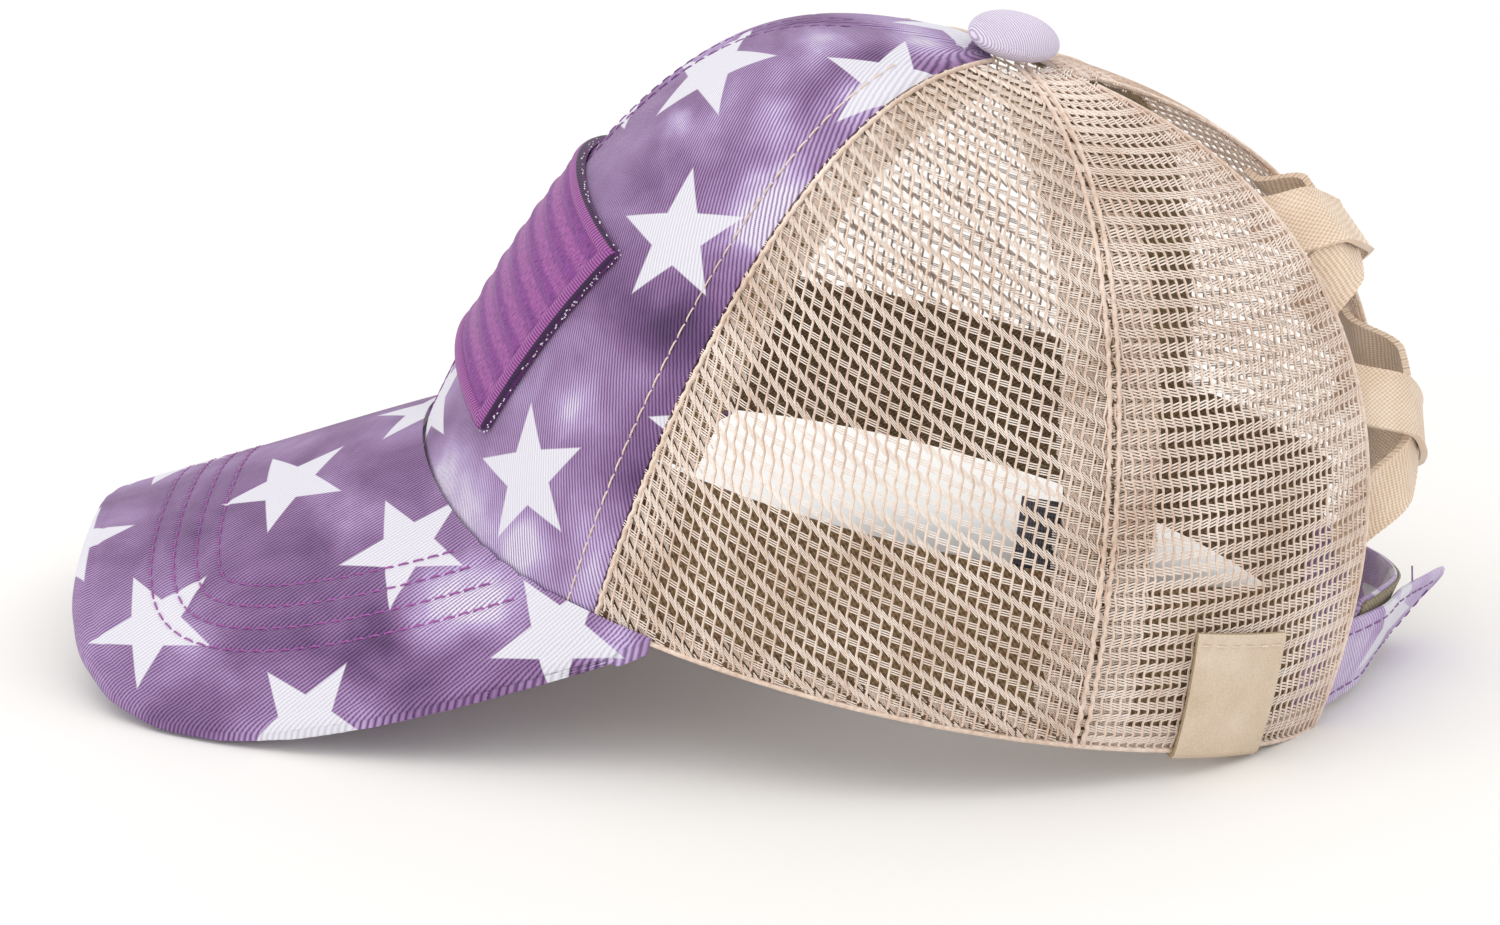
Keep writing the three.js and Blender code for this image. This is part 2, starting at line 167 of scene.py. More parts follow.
def wayAtLength(angle, length):
    angle, length = np.broadcast_arrays(np.asarray(angle, float), np.asarray(length, float))
    angles = np.linspace(-halfTurn, halfTurn, 181)
    line = crown(angles[:, None], lengthWays)
    run = np.cumsum(np.linalg.norm(np.diff(line, axis=1), axis=-1), 1)
    run = np.hstack((np.zeros((len(angles), 1)), run))
    which = (angle + halfTurn) % (2 * halfTurn) / (2 * halfTurn) * (len(angles) - 1)
    low = np.clip(which.astype(int), 0, len(angles) - 2)
    at = lambda row: (run[row] <= length[..., None]).sum(-1).clip(1, len(lengthWays) - 1)
    def wayOn(row):
        i = at(row)
        part = (length - run[row, i - 1]) / (run[row, i] - run[row, i - 1])
        return mix(lengthWays[i - 1], lengthWays[i], np.clip(part, 0, 1))
    return mix(wayOn(low), wayOn(low + 1), which - low)


tip = math.radians(cap["tip"])


def toTable(points):  # from the cap's frame to the row's frame, in metres, pressed flat on the table
    x, y, z = np.moveaxis(np.asarray(points, float), -1, 0)
    placed = np.stack((
        math.cos(tip) * x + math.sin(tip) * z + cap["forward"],
        y,
        np.maximum(0, -math.sin(tip) * x + math.cos(tip) * z + cap["up"]),
    ), -1)
    return placed * mm


# The brim's surface
brim = dict(
    reach=58.6, rootAngle=66, thickness=3.2, slope=0.624, curl=0.0102, squareness=3.27,
    tipLength=6, overlap=1.4, lift=2.6,
    stitchRows=(16, 20.7, 25.4, 30), stitchLength=2.3, stitchGap=0.7,  # from the brim's edge
)


def brimTop(x, y):
    rise = cap["archRise"] + brim["lift"]
    return rise + brim["slope"] * (x + cap["rimLength"] / 2) - brim["curl"] * y * y


def brimOutline(across):
    turn = across * halfTurn / 2
    power = 2 / brim["squareness"]
    root = math.radians(brim["rootAngle"])
    sideX = cap["rimLength"] / 2 * math.cos(root) + brim["tipLength"]
    reach = cap["rimLength"] / 2 + brim["reach"] - sideX
    x = -sideX - reach * np.abs(np.cos(turn)) ** power
    y = -cap["rimWidth"] / 2 * math.sin(root) * np.sign(across) * np.abs(np.sin(turn)) ** power
    return np.stack((x, y, brimTop(x, y)), -1)


def brimSheet(out, across):
    root = crown(across * math.radians(brim["rootAngle"]), 0)
    clear = 1 + 2 * cap["seamGap"] / cap["rimWidth"]
    root = root * (clear, clear, 1)
    edge = brimOutline(across)
    x, y = mix(root[..., 0], edge[..., 0], out), mix(root[..., 1], edge[..., 1], out)
    step = root[..., 2] + brim["overlap"] - brimTop(root[..., 0], root[..., 1])
    return np.stack((x, y, brimTop(x, y) + step * (1 - out) ** 2), -1)


brimEdge = brimOutline(np.sin(np.linspace(-halfTurn / 2, halfTurn / 2, 500)))


def edgeDistance(points):  # from the brim's outline, in blocks so that memory stays small
    flat = points.reshape(-1, 3)
    found = [
        np.sqrt(((block[:, None] - brimEdge) ** 2).sum(-1)).min(1)
        for block in np.array_split(flat, max(1, len(flat) // 4000))
    ]
    return np.concatenate(found).reshape(points.shape[:-1])


# Meshes

def shaded(mesh, sharpAngle=40):
    mesh.shade_smooth()
    mesh.set_sharp_from_angle(angle=math.radians(sharpAngle))
    return mesh


def closedSheet(name, rows, columns, at, uvAt=None):
    # a flat grid is given a back, and at(u, w, inner) then lays both faces on the cap
    bm = bmesh.new()
    bm.loops.layers.uv.new("cloth")
    bmesh.ops.create_grid(bm, x_segments=columns, y_segments=rows, size=0.5)
    back = bmesh.ops.extrude_face_region(bm, geom=bm.faces[:])
    corners = [v for v in back["geom"] if isinstance(v, bmesh.types.BMVert)]
    bmesh.ops.translate(bm, vec=(0, 0, -1), verts=corners)
    bmesh.ops.recalc_face_normals(bm, faces=bm.faces)
    for face in bm.faces:
        face.material_index = int(abs(face.normal.z) < 0.5)  # the thin side walls
    mesh = bpy.data.meshes.new(name)
    bm.to_mesh(mesh)
    bm.free()
    flat = np.empty(len(mesh.vertices) * 3)
    mesh.vertices.foreach_get("co", flat)
    flat = flat.reshape(-1, 3)
    w, u, inner = flat[:, 0] + 0.5, flat[:, 1] + 0.5, -flat[:, 2]
    mesh.vertices.foreach_set("co", toTable(at(u, w, inner)).ravel())
    if uvAt:
        cloth = np.stack(np.broadcast_arrays(*uvAt(u, w)), -1)
        index = np.empty(len(mesh.loops), int)
        mesh.loops.foreach_get("vertex_index", index)
        mesh.uv_layers[0].uv.foreach_set("vector", cloth[index].ravel())
    mesh.update()
    bm = bmesh.new()
    bm.from_mesh(mesh)
    if bm.calc_volume(signed=True) < 0:
        bmesh.ops.reverse_faces(bm, faces=bm.faces)
    bm.to_mesh(mesh)
    bm.free()
    return shaded(mesh)


def threads(name, lines, radius, sides=0):
    # each line becomes one round closed thread
    curve = bpy.data.curves.new(name, "CURVE")
    curve.dimensions = "3D"
    curve.resolution_u = 1
    curve.bevel_depth = radius * mm
    curve.bevel_resolution = sides
    curve.use_fill_caps = True
    for line in lines:
        spline = curve.splines.new("POLY")
        spline.points.add(len(line) - 1)
        spline.points.foreach_set("co", np.c_[toTable(line), np.ones(len(line))].ravel())
    drawn = bpy.data.objects.new(name, curve)
    bpy.context.scene.collection.objects.link(drawn)
    graph = bpy.context.evaluated_depsgraph_get()
    mesh = bpy.data.meshes.new_from_object(drawn.evaluated_get(graph))
    bpy.data.objects.remove(drawn)
    bpy.data.curves.remove(curve)
    mesh.name = name
    mesh.materials.clear()
    corners = np.empty(len(mesh.vertices) * 3)
    mesh.vertices.foreach_get("co", corners)
    corners[2::3] = np.maximum(corners[2::3], 0)  # nothing sinks into the table
    mesh.vertices.foreach_set("co", corners)
    return shaded(mesh, 60)


def alongPath(path, out, places):  # points and outward directions at lengths along a path
    run = np.concatenate(([0], np.cumsum(np.linalg.norm(np.diff(path, axis=0), axis=1))))
    pick = lambda values: np.stack([np.interp(places, run, values[:, i]) for i in range(3)], -1)
    return pick(path), unit(pick(out)), run[-1]


def stitchLines(path, out, length, gap, rise=0.16, sink=0.22, start=0.0):
    # each stitch dives into the cloth at both ends and stands a little proud between them
    whole = alongPath(path, out, [0])[2]
    starts = np.arange(start, whole - length, length + gap)
    shares = np.array((0, 0.16, 0.5, 0.84, 1))
    heights = np.array((-sink, rise * 0.7, rise, rise * 0.7, -sink))
    points, normals, _ = alongPath(path, out, starts[:, None] + shares * length)
    return points + normals * heights[:, None]


def addPiece(mesh, material, slot, *nodes, edge=None):
    piece = bpy.data.objects.new(mesh.name, mesh)
    bpy.context.scene.collection.objects.link(piece)
    mesh.materials.append(material)
    mesh.materials.append(edge or material)
    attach(piece, "root")
    if nodes:
        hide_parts(*nodes)
    return piece


# Materials

def colour(text):  # sRGB hex to linear
    values = [int(text[i:i + 2], 16) / 255 for i in (0, 2, 4)]
    return [v / 12.92 if v <= 0.04045 else ((v + 0.055) / 1.055) ** 2.4 for v in values] + [1]


def addNode(tree, kind, inputs=(), stops=(), **settings):
    # inputs fill the sockets in order, or by name or number from a dictionary; a node among them is
    # linked by its first output
    node = tree.nodes.new("ShaderNode" + kind)
    for name, value in settings.items():
        setattr(node, name, value)
    sockets = inputs if isinstance(inputs, dict) else dict(enumerate(inputs))
    for socket, value in sockets.items():
        if isinstance(value, bpy.types.Node):
            value = value.outputs[0]
        if isinstance(value, bpy.types.NodeSocket):
            tree.links.new(value, node.inputs[socket])
        else:
            node.inputs[socket].default_value = value
    if stops:  # places and colours along a colour ramp
        elements = node.color_ramp.elements
        elements[0].position, elements[1].position = stops[0][0], stops[-1][0]
        for place, _ in stops[1:-1]:
            elements.new(place)
        for element, (_, text) in zip(elements, stops):
            element.color = colour(text)
    return node


def startMaterial(name, **shader):
    material = bpy.data.materials.new(name)
    material.use_nodes = True
    tree = material.node_tree
    tree.nodes.clear()
    principled = addNode(tree, "BsdfPrincipled", shader)
    output = addNode(tree, "OutputMaterial")
    tree.links.new(principled.outputs[0], output.inputs["Surface"])
    return material, tree, principled


def finishSurface(tree, principled, tint, height, depth, strength=0.9):
    # gives a surface its colour and its relief, with the depth in millimetres
    relief = addNode(tree, "Bump", {"Strength": strength, "Distance": depth * mm, "Height": height})
    tree.links.new(tint, principled.inputs["Base Color"])
    tree.links.new(relief.outputs[0], principled.inputs["Normal"])


def ribs(tree, place, direction, pitch, wobble):
    # threads side by side: 0 in the furrows and 1 on the crests, a pitch apart across the direction
    noise = addNode(tree, "TexNoise", {"Vector": place, "Scale": 0.35 / pitch, "Detail": 1.0})
    shift = addNode(tree, "VectorMath", {0: noise.outputs["Color"], "Scale": wobble * pitch},
                    operation="SCALE")
    moved = addNode(tree, "VectorMath", (place, shift))
    turn = math.radians(direction)
    rate = 2 * math.pi / pitch
    along = addNode(tree, "VectorMath",
                    (moved, (math.cos(turn) * rate, math.sin(turn) * rate, 0)),
                    operation="DOT_PRODUCT").outputs["Value"]
    wave = addNode(tree, "Math", (along,), operation="SINE")
    return addNode(tree, "Math", (wave, 0.5, 0.5), operation="MULTIPLY_ADD").outputs[0]


# Printed stars: centre on the crown by angle and way or on the brim by x and y, then their turn
star = dict(radius=13.6, waist=0.41, depth=9, sharpness=4)
crownStars = (
    (40.2, 0.141, 40.1), (42.5, 0.485, 40.5), (11.6, 0.672, 25.2), (51, 0.835, 30.5),
    (64.6, 0.315, 47), (6, 0.05, 20),
    (-8, 0.5, 15), (-33, 0.74, 50), (-27, 0.14, 30), (-47, 0.42, 60), (-56, 0.12, 8), (-52, 0.92, 33),
)
brimStars = (
    (-130.8, -40.1, 35.1), (-114.2, -15.2, 41.6), (-87.3, -39.4, 35.6), (-96.9, -62.3, 21.9),
    (-54.4, -60.6, 27.1), (-153, -14, 10),
    (-139, 17, 55), (-110, 27, 20), (-128, 50, 66), (-92, 2, 5), (-86, 52, 40), (-62, 66, 12),
)


def starFrame(surface, u, v, step):
    here = surface(u, v)
    across = surface(u + step[0], v) - surface(u - step[0], v)
    upward = surface(u, v + step[1]) - surface(u, v - step[1])
    normal = unit(np.cross(across, upward))
    upward = unit(upward - normal * (upward @ normal))
    return here, np.cross(upward, normal), upward


def onCrown(angle, way):
    return crown(math.radians(angle), way)


def onBrim(x, y):
    return np.stack((x, y, brimTop(x, y)), -1)


def placedSpots(blotches, surface):
    return [(surface(u, v), size, amount) for u, v, size, amount in blotches]


def placedStars(stars, surface, step):
    return [(*starFrame(surface, u, v, step), turn) for u, v, turn in stars]


def turned(direction):  # a direction of the cap's frame in the row's frame
    x, y, z = direction
    return (math.cos(tip) * x + math.sin(tip) * z, y, -math.sin(tip) * x + math.cos(tip) * z)


def starMask(tree, place, centre, across, upward, turn):
    # 1 inside a five-pointed star drawn on the plane that touches the cloth at its centre
    away = addNode(tree, "VectorMath", (place, tuple(toTable(centre))), operation="SUBTRACT")
    x, y, off = (
        addNode(tree, "VectorMath", (away, turned(axis / mm)), operation="DOT_PRODUCT").outputs["Value"]
        for axis in (across, upward, np.cross(across, upward))
    )
    fifth = 2 * math.pi / 5
    bearing = addNode(tree, "Math", (x, y), operation="ARCTAN2")
    bearing = addNode(tree, "Math", (bearing, math.radians(turn)), operation="SUBTRACT")
    bearing = addNode(tree, "Math", (bearing, fifth / 2, -fifth / 2), operation="WRAP")
    folded = addNode(tree, "Math", (bearing,), operation="ABSOLUTE")
    upSquare = addNode(tree, "Math", (y, y), operation="MULTIPLY")
    square = addNode(tree, "Math", (x, x, upSquare), operation="MULTIPLY_ADD")
    reach = addNode(tree, "Math", (square,), operation="SQRT")
    # the edge runs from a tip to the waist between two tips
    radius = star["radius"]
    waist = radius * star["waist"]
    edge = np.array((waist * math.cos(fifth / 2) - radius, waist * math.sin(fifth / 2)))
    out = np.array((edge[1], -edge[0])) / np.linalg.norm(edge)
    cosine = addNode(tree, "Math", (folded,), operation="COSINE")
    sine = addNode(tree, "Math", (folded,), operation="SINE")
    tipSide = addNode(tree, "Math", (cosine, out[0]), operation="MULTIPLY")
    waistSide = addNode(tree, "Math", (sine, out[1], tipSide), operation="MULTIPLY_ADD")
    spoke = addNode(tree, "Math", (reach, waistSide), operation="MULTIPLY")
    inside = addNode(tree, "Math", (radius * out[0], spoke), operation="SUBTRACT")
    inside = addNode(tree, "Math", (inside, star["sharpness"], 0.5), operation="MULTIPLY_ADD",
                     use_clamp=True)
    away = addNode(tree, "Math", (off,), operation="ABSOLUTE")
    near = addNode(tree, "Math", (away, star["depth"]), operation="LESS_THAN")
    return addNode(tree, "Math", (inside, near), operation="MULTIPLY").outputs[0]


# Where the dye is lighter or darker: angle and way on the crown, or x and y on the brim, with the
# size of the blotch and how much it lightens
crownBlotches = (
    (30, 0.03, 17, 0.46), (44, 0.05, 13, 0.4), (56, 0.03, 12, 0.3), (20, 0.02, 11, 0.5),
    (56, 0.12, 13, 0.34),
    (57, 0.575, 15, 0.85), (57, 0.70, 10, 0.15), (52, 0.79, 11, 0.62), (20, 0.96, 13, 0.5),
    (22, 0.585, 7, 0.42), (42, 0.68, 9, 0.36), (18, 0.85, 10, 0.4), (42, 0.25, 9, 0.28),
    (26, 0.52, 9, -0.15), (30, 0.62, 9, 0.18), (50, 0.40, 14, -0.42), (38, 0.86, 9, -0.2),
    (57, 0.24, 8, -0.1),
    (5, 0.1, 16, 0.3), (-14, 0.66, 18, 0.45), (-40, 0.3, 20, 0.4), (-50, 0.66, 16, 0.5),
    (-24, 0.9, 16, 0.35), (-10, 0.38, 14, -0.3),
)
brimBlotches = (
    (-76, -51, 14, 0.4), (-66, -55, 12, 0.35), (-99, -30, 12, 0.22), (-122, -42, 13, 0.2),
    (-43, -65, 10, 0.4), (-118, -32, 9, 0.15), (-121, -56, 12, -0.3), (-88, -54, 11, -0.22),
    (-142, -22, 14, -0.12), (-77, -62, 10, -0.14), (-110, 30, 20, 0.3), (-135, 48, 16, -0.2),
    (-84, 46, 14, 0.3), (-98, 5, 14, 0.15),
)
dye = dict(
    clouds=38, wisps=150, drift=70,  # how many to the metre
    reach=12,  # how far a blotch's edge wanders
    cloudDepth=1.15, wispDepth=0.16, paleness=-0.165,
    colours=((0.0, "5b4069"), (0.2, "755583"), (0.42, "9673a2"), (0.62, "b092bf"), (0.82, "ccb6e0"),
             (1.0, "eae1f4")),
)
twill = dict(
    crossTurn=70, crossPitch=0.72, crossDepth=0.16,  # the fine threads over the ribs
    # ribShade is painted shade: by rib height it darkens the furrows, and the crests keep their colour
    ribShade=((0.05, "77687f"), (0.4, "d2cad9"), (0.8, "ffffff")),
    ink="e3e3ea", inkShade=0.18, inkCover=0.84, inkWear=0.14, inkFill=0.6, relief=0.14,
)


def dyedTwill(name, ribPitch, ribTurn, prints, spots=(), lighter=0.0, contrast=0.9):
    # Cotton twill, piece dyed by hand in purple and overprinted in white. Painted shade darkens
    # the furrows between the diagonal ribs, and the print fills the furrows.
    material, tree, principled = startMaterial(
        name, **{"Roughness": 0.82, "Sheen Weight": 0.22, "Sheen Roughness": 0.45,
                 "Specular IOR Level": 0.25})
    coords = addNode(tree, "TexCoord")
    place, cloth = coords.outputs["Object"], coords.outputs["UV"]
    clouds = addNode(tree, "TexNoise", {"Vector": place, "Scale": dye["clouds"], "Detail": 4.0,
                                        "Roughness": 0.55, "Distortion": 0.6})
    wisps = addNode(tree, "TexNoise", {"Vector": place, "Scale": dye["wisps"], "Detail": 3.0})
    paleness = addNode(tree, "Math", (clouds, dye["cloudDepth"], lighter + dye["paleness"]),
                       operation="MULTIPLY_ADD")
    paleness = addNode(tree, "Math", (wisps, dye["wispDepth"], paleness), operation="MULTIPLY_ADD")
    soften = addNode(tree, "TexNoise", {"Vector": place, "Scale": dye["drift"], "Detail": 2.0})
    drift = addNode(tree, "VectorMath", (soften.outputs["Color"], (0.5,) * 3), operation="SUBTRACT")
    drifted = addNode(tree, "VectorMath", (drift, (dye["reach"] * mm,) * 3, place),
                      operation="MULTIPLY_ADD")
    for centre, size, amount in spots:
        far = addNode(tree, "VectorMath", (drifted, tuple(toTable(centre))), operation="DISTANCE")
        near = addNode(tree, "MapRange", (far.outputs["Value"], size * mm, 0.0, 0.0, amount),
                       interpolation_type="SMOOTHSTEP")
        paleness = addNode(tree, "Math", (paleness, near), operation="ADD")
    dyed = addNode(tree, "ValToRGB", (paleness,), dye["colours"])
    rib = ribs(tree, cloth, ribTurn, ribPitch, 0.35)
    thread = ribs(tree, cloth, ribTurn + twill["crossTurn"], ribPitch * twill["crossPitch"], 0.5)
    rib = addNode(tree, "Math", (rib, 1 - twill["crossDepth"]), operation="MULTIPLY")
    weave = addNode(tree, "Math", (thread, twill["crossDepth"], rib), operation="MULTIPLY_ADD")
    # painted shade in the rib furrows, multiplied onto the dye by contrast and more lightly onto the ink
    shade = addNode(tree, "ValToRGB", (weave,), twill["ribShade"])
    bare, inked = (
        addNode(tree, "Mix", {0: amount, 6: tint, 7: shade}, data_type="RGBA",
                blend_type="MULTIPLY").outputs[2]
        for amount, tint in ((contrast, dyed), (twill["inkShade"], colour(twill["ink"])))
    )
    ink = 0.0
    for centre, across, upward, turn in prints:
        mask = starMask(tree, place, centre, across, upward, turn)
        ink = addNode(tree, "Math", (ink, mask), operation="MAXIMUM")
    cover = addNode(tree, "Math", (weave, twill["inkWear"], twill["inkCover"]),
                    operation="MULTIPLY_ADD")
    cover = addNode(tree, "Math", (ink, cover), operation="MULTIPLY")
    tint = addNode(tree, "Mix", {0: cover, 6: bare, 7: inked}, data_type="RGBA").outputs[2]
    furrows = addNode(tree, "Math", (ink, -twill["inkFill"], 1.0), operation="MULTIPLY_ADD")
    height = addNode(tree, "Math", (weave, furrows), operation="MULTIPLY")
    finishSurface(tree, principled, tint, height, twill["relief"])
    return material


def yarnMaterial(name, dark, light, pitch=0.6, roughness=0.5):
    # Spun or twisted yarn: painted shade in the lays between the plies, painted lighter crests, a soft
    # sheen.
    material, tree, principled = startMaterial(
        name, **{"Roughness": roughness, "Sheen Weight": 0.2, "Specular IOR Level": 0.45})
    place = addNode(tree, "TexCoord").outputs["Object"]
    plies = addNode(tree, "TexNoise", {"Vector": place, "Scale": 1 / (pitch * mm), "Detail": 2.0})
    slow = addNode(tree, "TexNoise", {"Vector": place, "Scale": 60.0, "Detail": 2.0})
    half = addNode(tree, "Math", (plies, 0.5), operation="MULTIPLY")
    both = addNode(tree, "Math", (slow, 0.6, half), operation="MULTIPLY_ADD")
    # the plies' relief also sets the colour: painted shade in the lays, over a slow random tone
    tint = addNode(tree, "ValToRGB", (both,), ((0.3, dark), (0.75, light)))
    finishSurface(tree, principled, tint.outputs[0], plies, 0.05, 0.6)
    return material


def wovenMaterial(name, dark, light, pitch, turn, crossPitch, roughness=0.85, sheen=0.3, deep=0.12):
    # A plain woven or knitted tape: ribs one way, finer threads across them.
    material, tree, principled = startMaterial(
        name, **{"Roughness": roughness, "Sheen Weight": sheen, "Specular IOR Level": 0.25})
    coords = addNode(tree, "TexCoord")
    rib = ribs(tree, coords.outputs["UV"], turn, pitch, 0.3)
    cross = ribs(tree, coords.outputs["UV"], turn + 90, crossPitch, 0.3)
    rib = addNode(tree, "Math", (rib, 0.6), operation="MULTIPLY")
    weave = addNode(tree, "Math", (cross, 0.4, rib), operation="MULTIPLY_ADD")
    slow = addNode(tree, "TexNoise", {"Vector": coords.outputs["Object"], "Scale": 90.0,
                                      "Detail": 3.0})
    # the weave's relief also sets the colour: painted shade between the threads, over a slow random tone
    half = addNode(tree, "Math", (weave, 0.5), operation="MULTIPLY")
    both = addNode(tree, "Math", (slow, 0.5, half), operation="MULTIPLY_ADD")
    tint = addNode(tree, "ValToRGB", (both,), ((0.25, dark), (0.75, light)))
    finishSurface(tree, principled, tint.outputs[0], weave, deep)
    return material


materials = dict(
    crownTwill=dyedTwill("printed cotton twill, crown", 0.58, 32,
                         placedStars(crownStars, onCrown, (0.6, 0.005)),
                         placedSpots(crownBlotches, onCrown)),
    brimTwill=dyedTwill("printed cotton twill, brim", 0.62, -24,
                        placedStars(brimStars, onBrim, (0.5, 0.5)),
                        placedSpots(brimBlotches, onBrim)),
    net=yarnMaterial("polyester net yarn", "c3a48c", "f8e6d8", 1.2, 0.42),
    netShine=yarnMaterial("polyester net filament", "dcc3b0", "fff8f1", 0.8, 0.3),
    sweatband=wovenMaterial("cotton sweatband twill", "6a5039", "a08968", 0.7, 40, 1.1, 0.92),
    tape=wovenMaterial("cotton seam tape", "7d6a4c", "b39e7c", 0.8, 90, 0.9, 0.92),
    elastic=wovenMaterial("knitted elastic", "d3b494", "fdebd8", 0.62, 62, 0.5, 0.8, 0.35, 0.2),
    khakiThread=yarnMaterial("khaki cotton thread", "94805e", "d2c0a0", 0.5),
    creamThread=yarnMaterial("cream cotton thread", "c0a592", "f3e3d6", 0.5),
    purpleThread=yarnMaterial("purple polyester thread", "5b2b73", "93589f", 0.5, 0.4),
    whiteThread=yarnMaterial("white cotton backing", "cfcad4", "ffffff", 0.5, 0.7),
    magentaThread=yarnMaterial("magenta polyester thread", "74297c", "a452a4", 0.5, 0.4),
)
print("materials made")


# Front panels: stiff twill, sewn together down the middle
frontPanel = dict(rows=230, columns=150, middleStitch=3, seamStitch=5.2)


def seamPucker(distance, length, place, depth, pitch):
    # a row of stitches pulls the cloth in a little, more at each stitch
    return -depth * ridge(distance - place, 0.55) * (0.7 + 0.3 * np.sin(length * 2 * math.pi / pitch))


def drape(points, size, amount):
    # soft unevenness of cloth, as three crossing swells
    x, y, z = np.moveaxis(points, -1, 0)
    swells = (
        np.sin(x / size * 5.1 + z / size * 2.3 + 0.7)
        + np.sin(y / size * 4.3 - z / size * 4.9 + 2.1)
        + np.sin(x / size * 2.7 + y / size * 3.7 + z / size * 5.9)
    )
    return amount * swells / 3


def panelGrid(u, w, first, second):
    angle = mix(first(u * 0), second(u * 0), w)
    for _ in range(4):
        way = wayAtRadius(angle, cap["topHole"]) * (1 - (1 - u) ** 1.45)
        half = cap["seamGap"] / 2 / np.maximum(cap["topHole"], radiusAt(angle, way))
        angle = mix(first(way) + half, second(way) - half, w)
    return angle, way


def seamAt(angle):
    return lambda way: math.radians(angle) + way * 0


def buildFrontPanel(side):
    def at(u, w, inner):
        angle, way = panelGrid(u, w, seamAt(0), seamAt(cap["frontSeam"]))
        radius = radiusAt(angle, way)
        length = clothLength(angle, way)
        middle, seam = angle * radius, (math.radians(cap["frontSeam"]) - angle) * radius
        lift = -0.5 * ridge(middle, 1.0) - 0.35 * ridge(seam, 0.9)
        lift += (seamPucker(middle, length, frontPanel["middleStitch"], 0.16, 3)
                 + seamPucker(seam, length, frontPanel["seamStitch"], 0.2, 3.4))
        lift += drape(crown(angle, way), 60, 0.22) * smooth(seam / 8) * smooth(length / 8)
        lift -= 0.35 * ridge(length, 1.2)
        return lifted(side * angle, way, lift - inner * depths["twill"])

    def uvAt(u, w):
        angle, way = panelGrid(u, w, seamAt(0), seamAt(cap["frontSeam"]))
        grain = angle - math.radians(cap["frontSeam"]) / 2  # runs up the panel's middle
        return side * grain * radiusAt(angle, way), clothLength(angle, way)

    name = "front_cloth_left" if side > 0 else "front_cloth_right"
    node = "front_panel_left" if side > 0 else "front_panel_right"
    mesh = closedSheet(name, frontPanel["rows"], frontPanel["columns"], at, uvAt)
    addPiece(mesh, materials["crownTwill"], "twill", node)


def crownPath(angleAt, low, high, count=400):
    ways = np.linspace(low, high, count)
    angles = angleAt(ways)
    return crown(angles, ways), crownNormal(angles, ways)


def buildFrontStitches(side):
    beside = lambda seam, offset: lambda way: side * (
        math.radians(seam) + offset / np.maximum(6, radiusAt(side * math.radians(seam), way)))
    name = "left" if side > 0 else "right"
    middle = crownPath(beside(0, frontPanel["middleStitch"]), 0.01, 0.9)
    addPiece(threads(f"stitches_middle_{name}", stitchLines(*middle, 2.2, 0.7, 0.07), 0.15),
             materials["purpleThread"], "twill")
    seam = crownPath(beside(cap["frontSeam"], -frontPanel["seamStitch"]), 0.005, 0.9)
    addPiece(threads(f"stitches_front_seam_{name}", stitchLines(*seam, 2.8, 0.6), 0.18),
             materials["creamThread"], "twill")


for side in (1, -1):
    buildFrontPanel(side)
    buildFrontStitches(side)
print("front panels made")


# Brim: a board in twill, with four rows of stitching sunk into the padding

def brimPlace(u, w):
    return 1 - (1 - u) ** 1.3, np.sin((w - 0.5) * halfTurn)


def brimAt(u, w, inner):
    out, across = brimPlace(u, w)
    place = brimSheet(out, across)
    distance = edgeDistance(place)
    rounding = np.clip(1 - distance / (brim["thickness"] / 2), 0, 1)
    fall = brim["thickness"] / 2 * (1 - np.sqrt(1 - rounding ** 2))
    dents = sum(ridge(distance - row, 0.55) for row in brim["stitchRows"])
    puffs = sum(ridge(distance - row - 2.35, 1.2) for row in brim["stitchRows"][:3])
    top = -fall - 0.4 * dents + 0.14 * puffs + drape(place, 45, 0.16) * smooth(distance / 6)
    top -= 0.25 * ridge(distance - 3.4, 0.7)  # the cloth is turned over the board's edge
    place[..., 2] += np.where(inner > 0.5, -brim["thickness"] + fall, top)
    return place


def buildBrim():
    def uvAt(u, w):
        place = brimSheet(*brimPlace(u, w))
        return place[..., 1], place[..., 0]

    addPiece(closedSheet("brim_cloth", 150, 260, brimAt, uvAt), materials["brimTwill"], "twill", "brim")
    lines = []
    for row in brim["stitchRows"]:
        across = np.sin(np.linspace(-halfTurn / 2, halfTurn / 2, 700))
        deepest = edgeDistance(brimSheet(across * 0 + 0.03, across))
        across = across[deepest > row + 0.5]
        out = halving(across * 0, across * 0 + 1, lambda u: edgeDistance(brimSheet(u, across)) < row, 14)
        path = brimSheet(out, across) - (0, 0, 0.35)
        upward = np.broadcast_to((-math.sin(0.5), 0, math.cos(0.5)), path.shape)
        lines.extend(stitchLines(path, upward, brim["stitchLength"], brim["stitchGap"], 0.2, 0.25))
    addPiece(threads("brim_stitches", lines, 0.2), materials["magentaThread"], "twill")


buildBrim()
print("brim made")


# Net: thick zigzag yarns joined by bars of three shiny filaments
sideKnit = dict(pitch=2.0, row=2.9, shear=-24.5, bars=(-38, -7), sway=0.5, lean=-0.22,
                thread=0.125, spacing=0.44, turnedIn=(8, 8), offset=(0.9, 1.2))
backKnit = dict(pitch=1.75, row=2.7, shear=0, bars=(-15, 18), sway=0.36, lean=0,
                thread=0.17, spacing=0.56, turnedIn=(8, 6), offset=(0.8, 1.1))
netYarn = dict(radius=0.235, straight=0.35, filaments=3, depth=0.3, barDepth=0.12,
               turnedDepth=0.95, turnedRim=5)


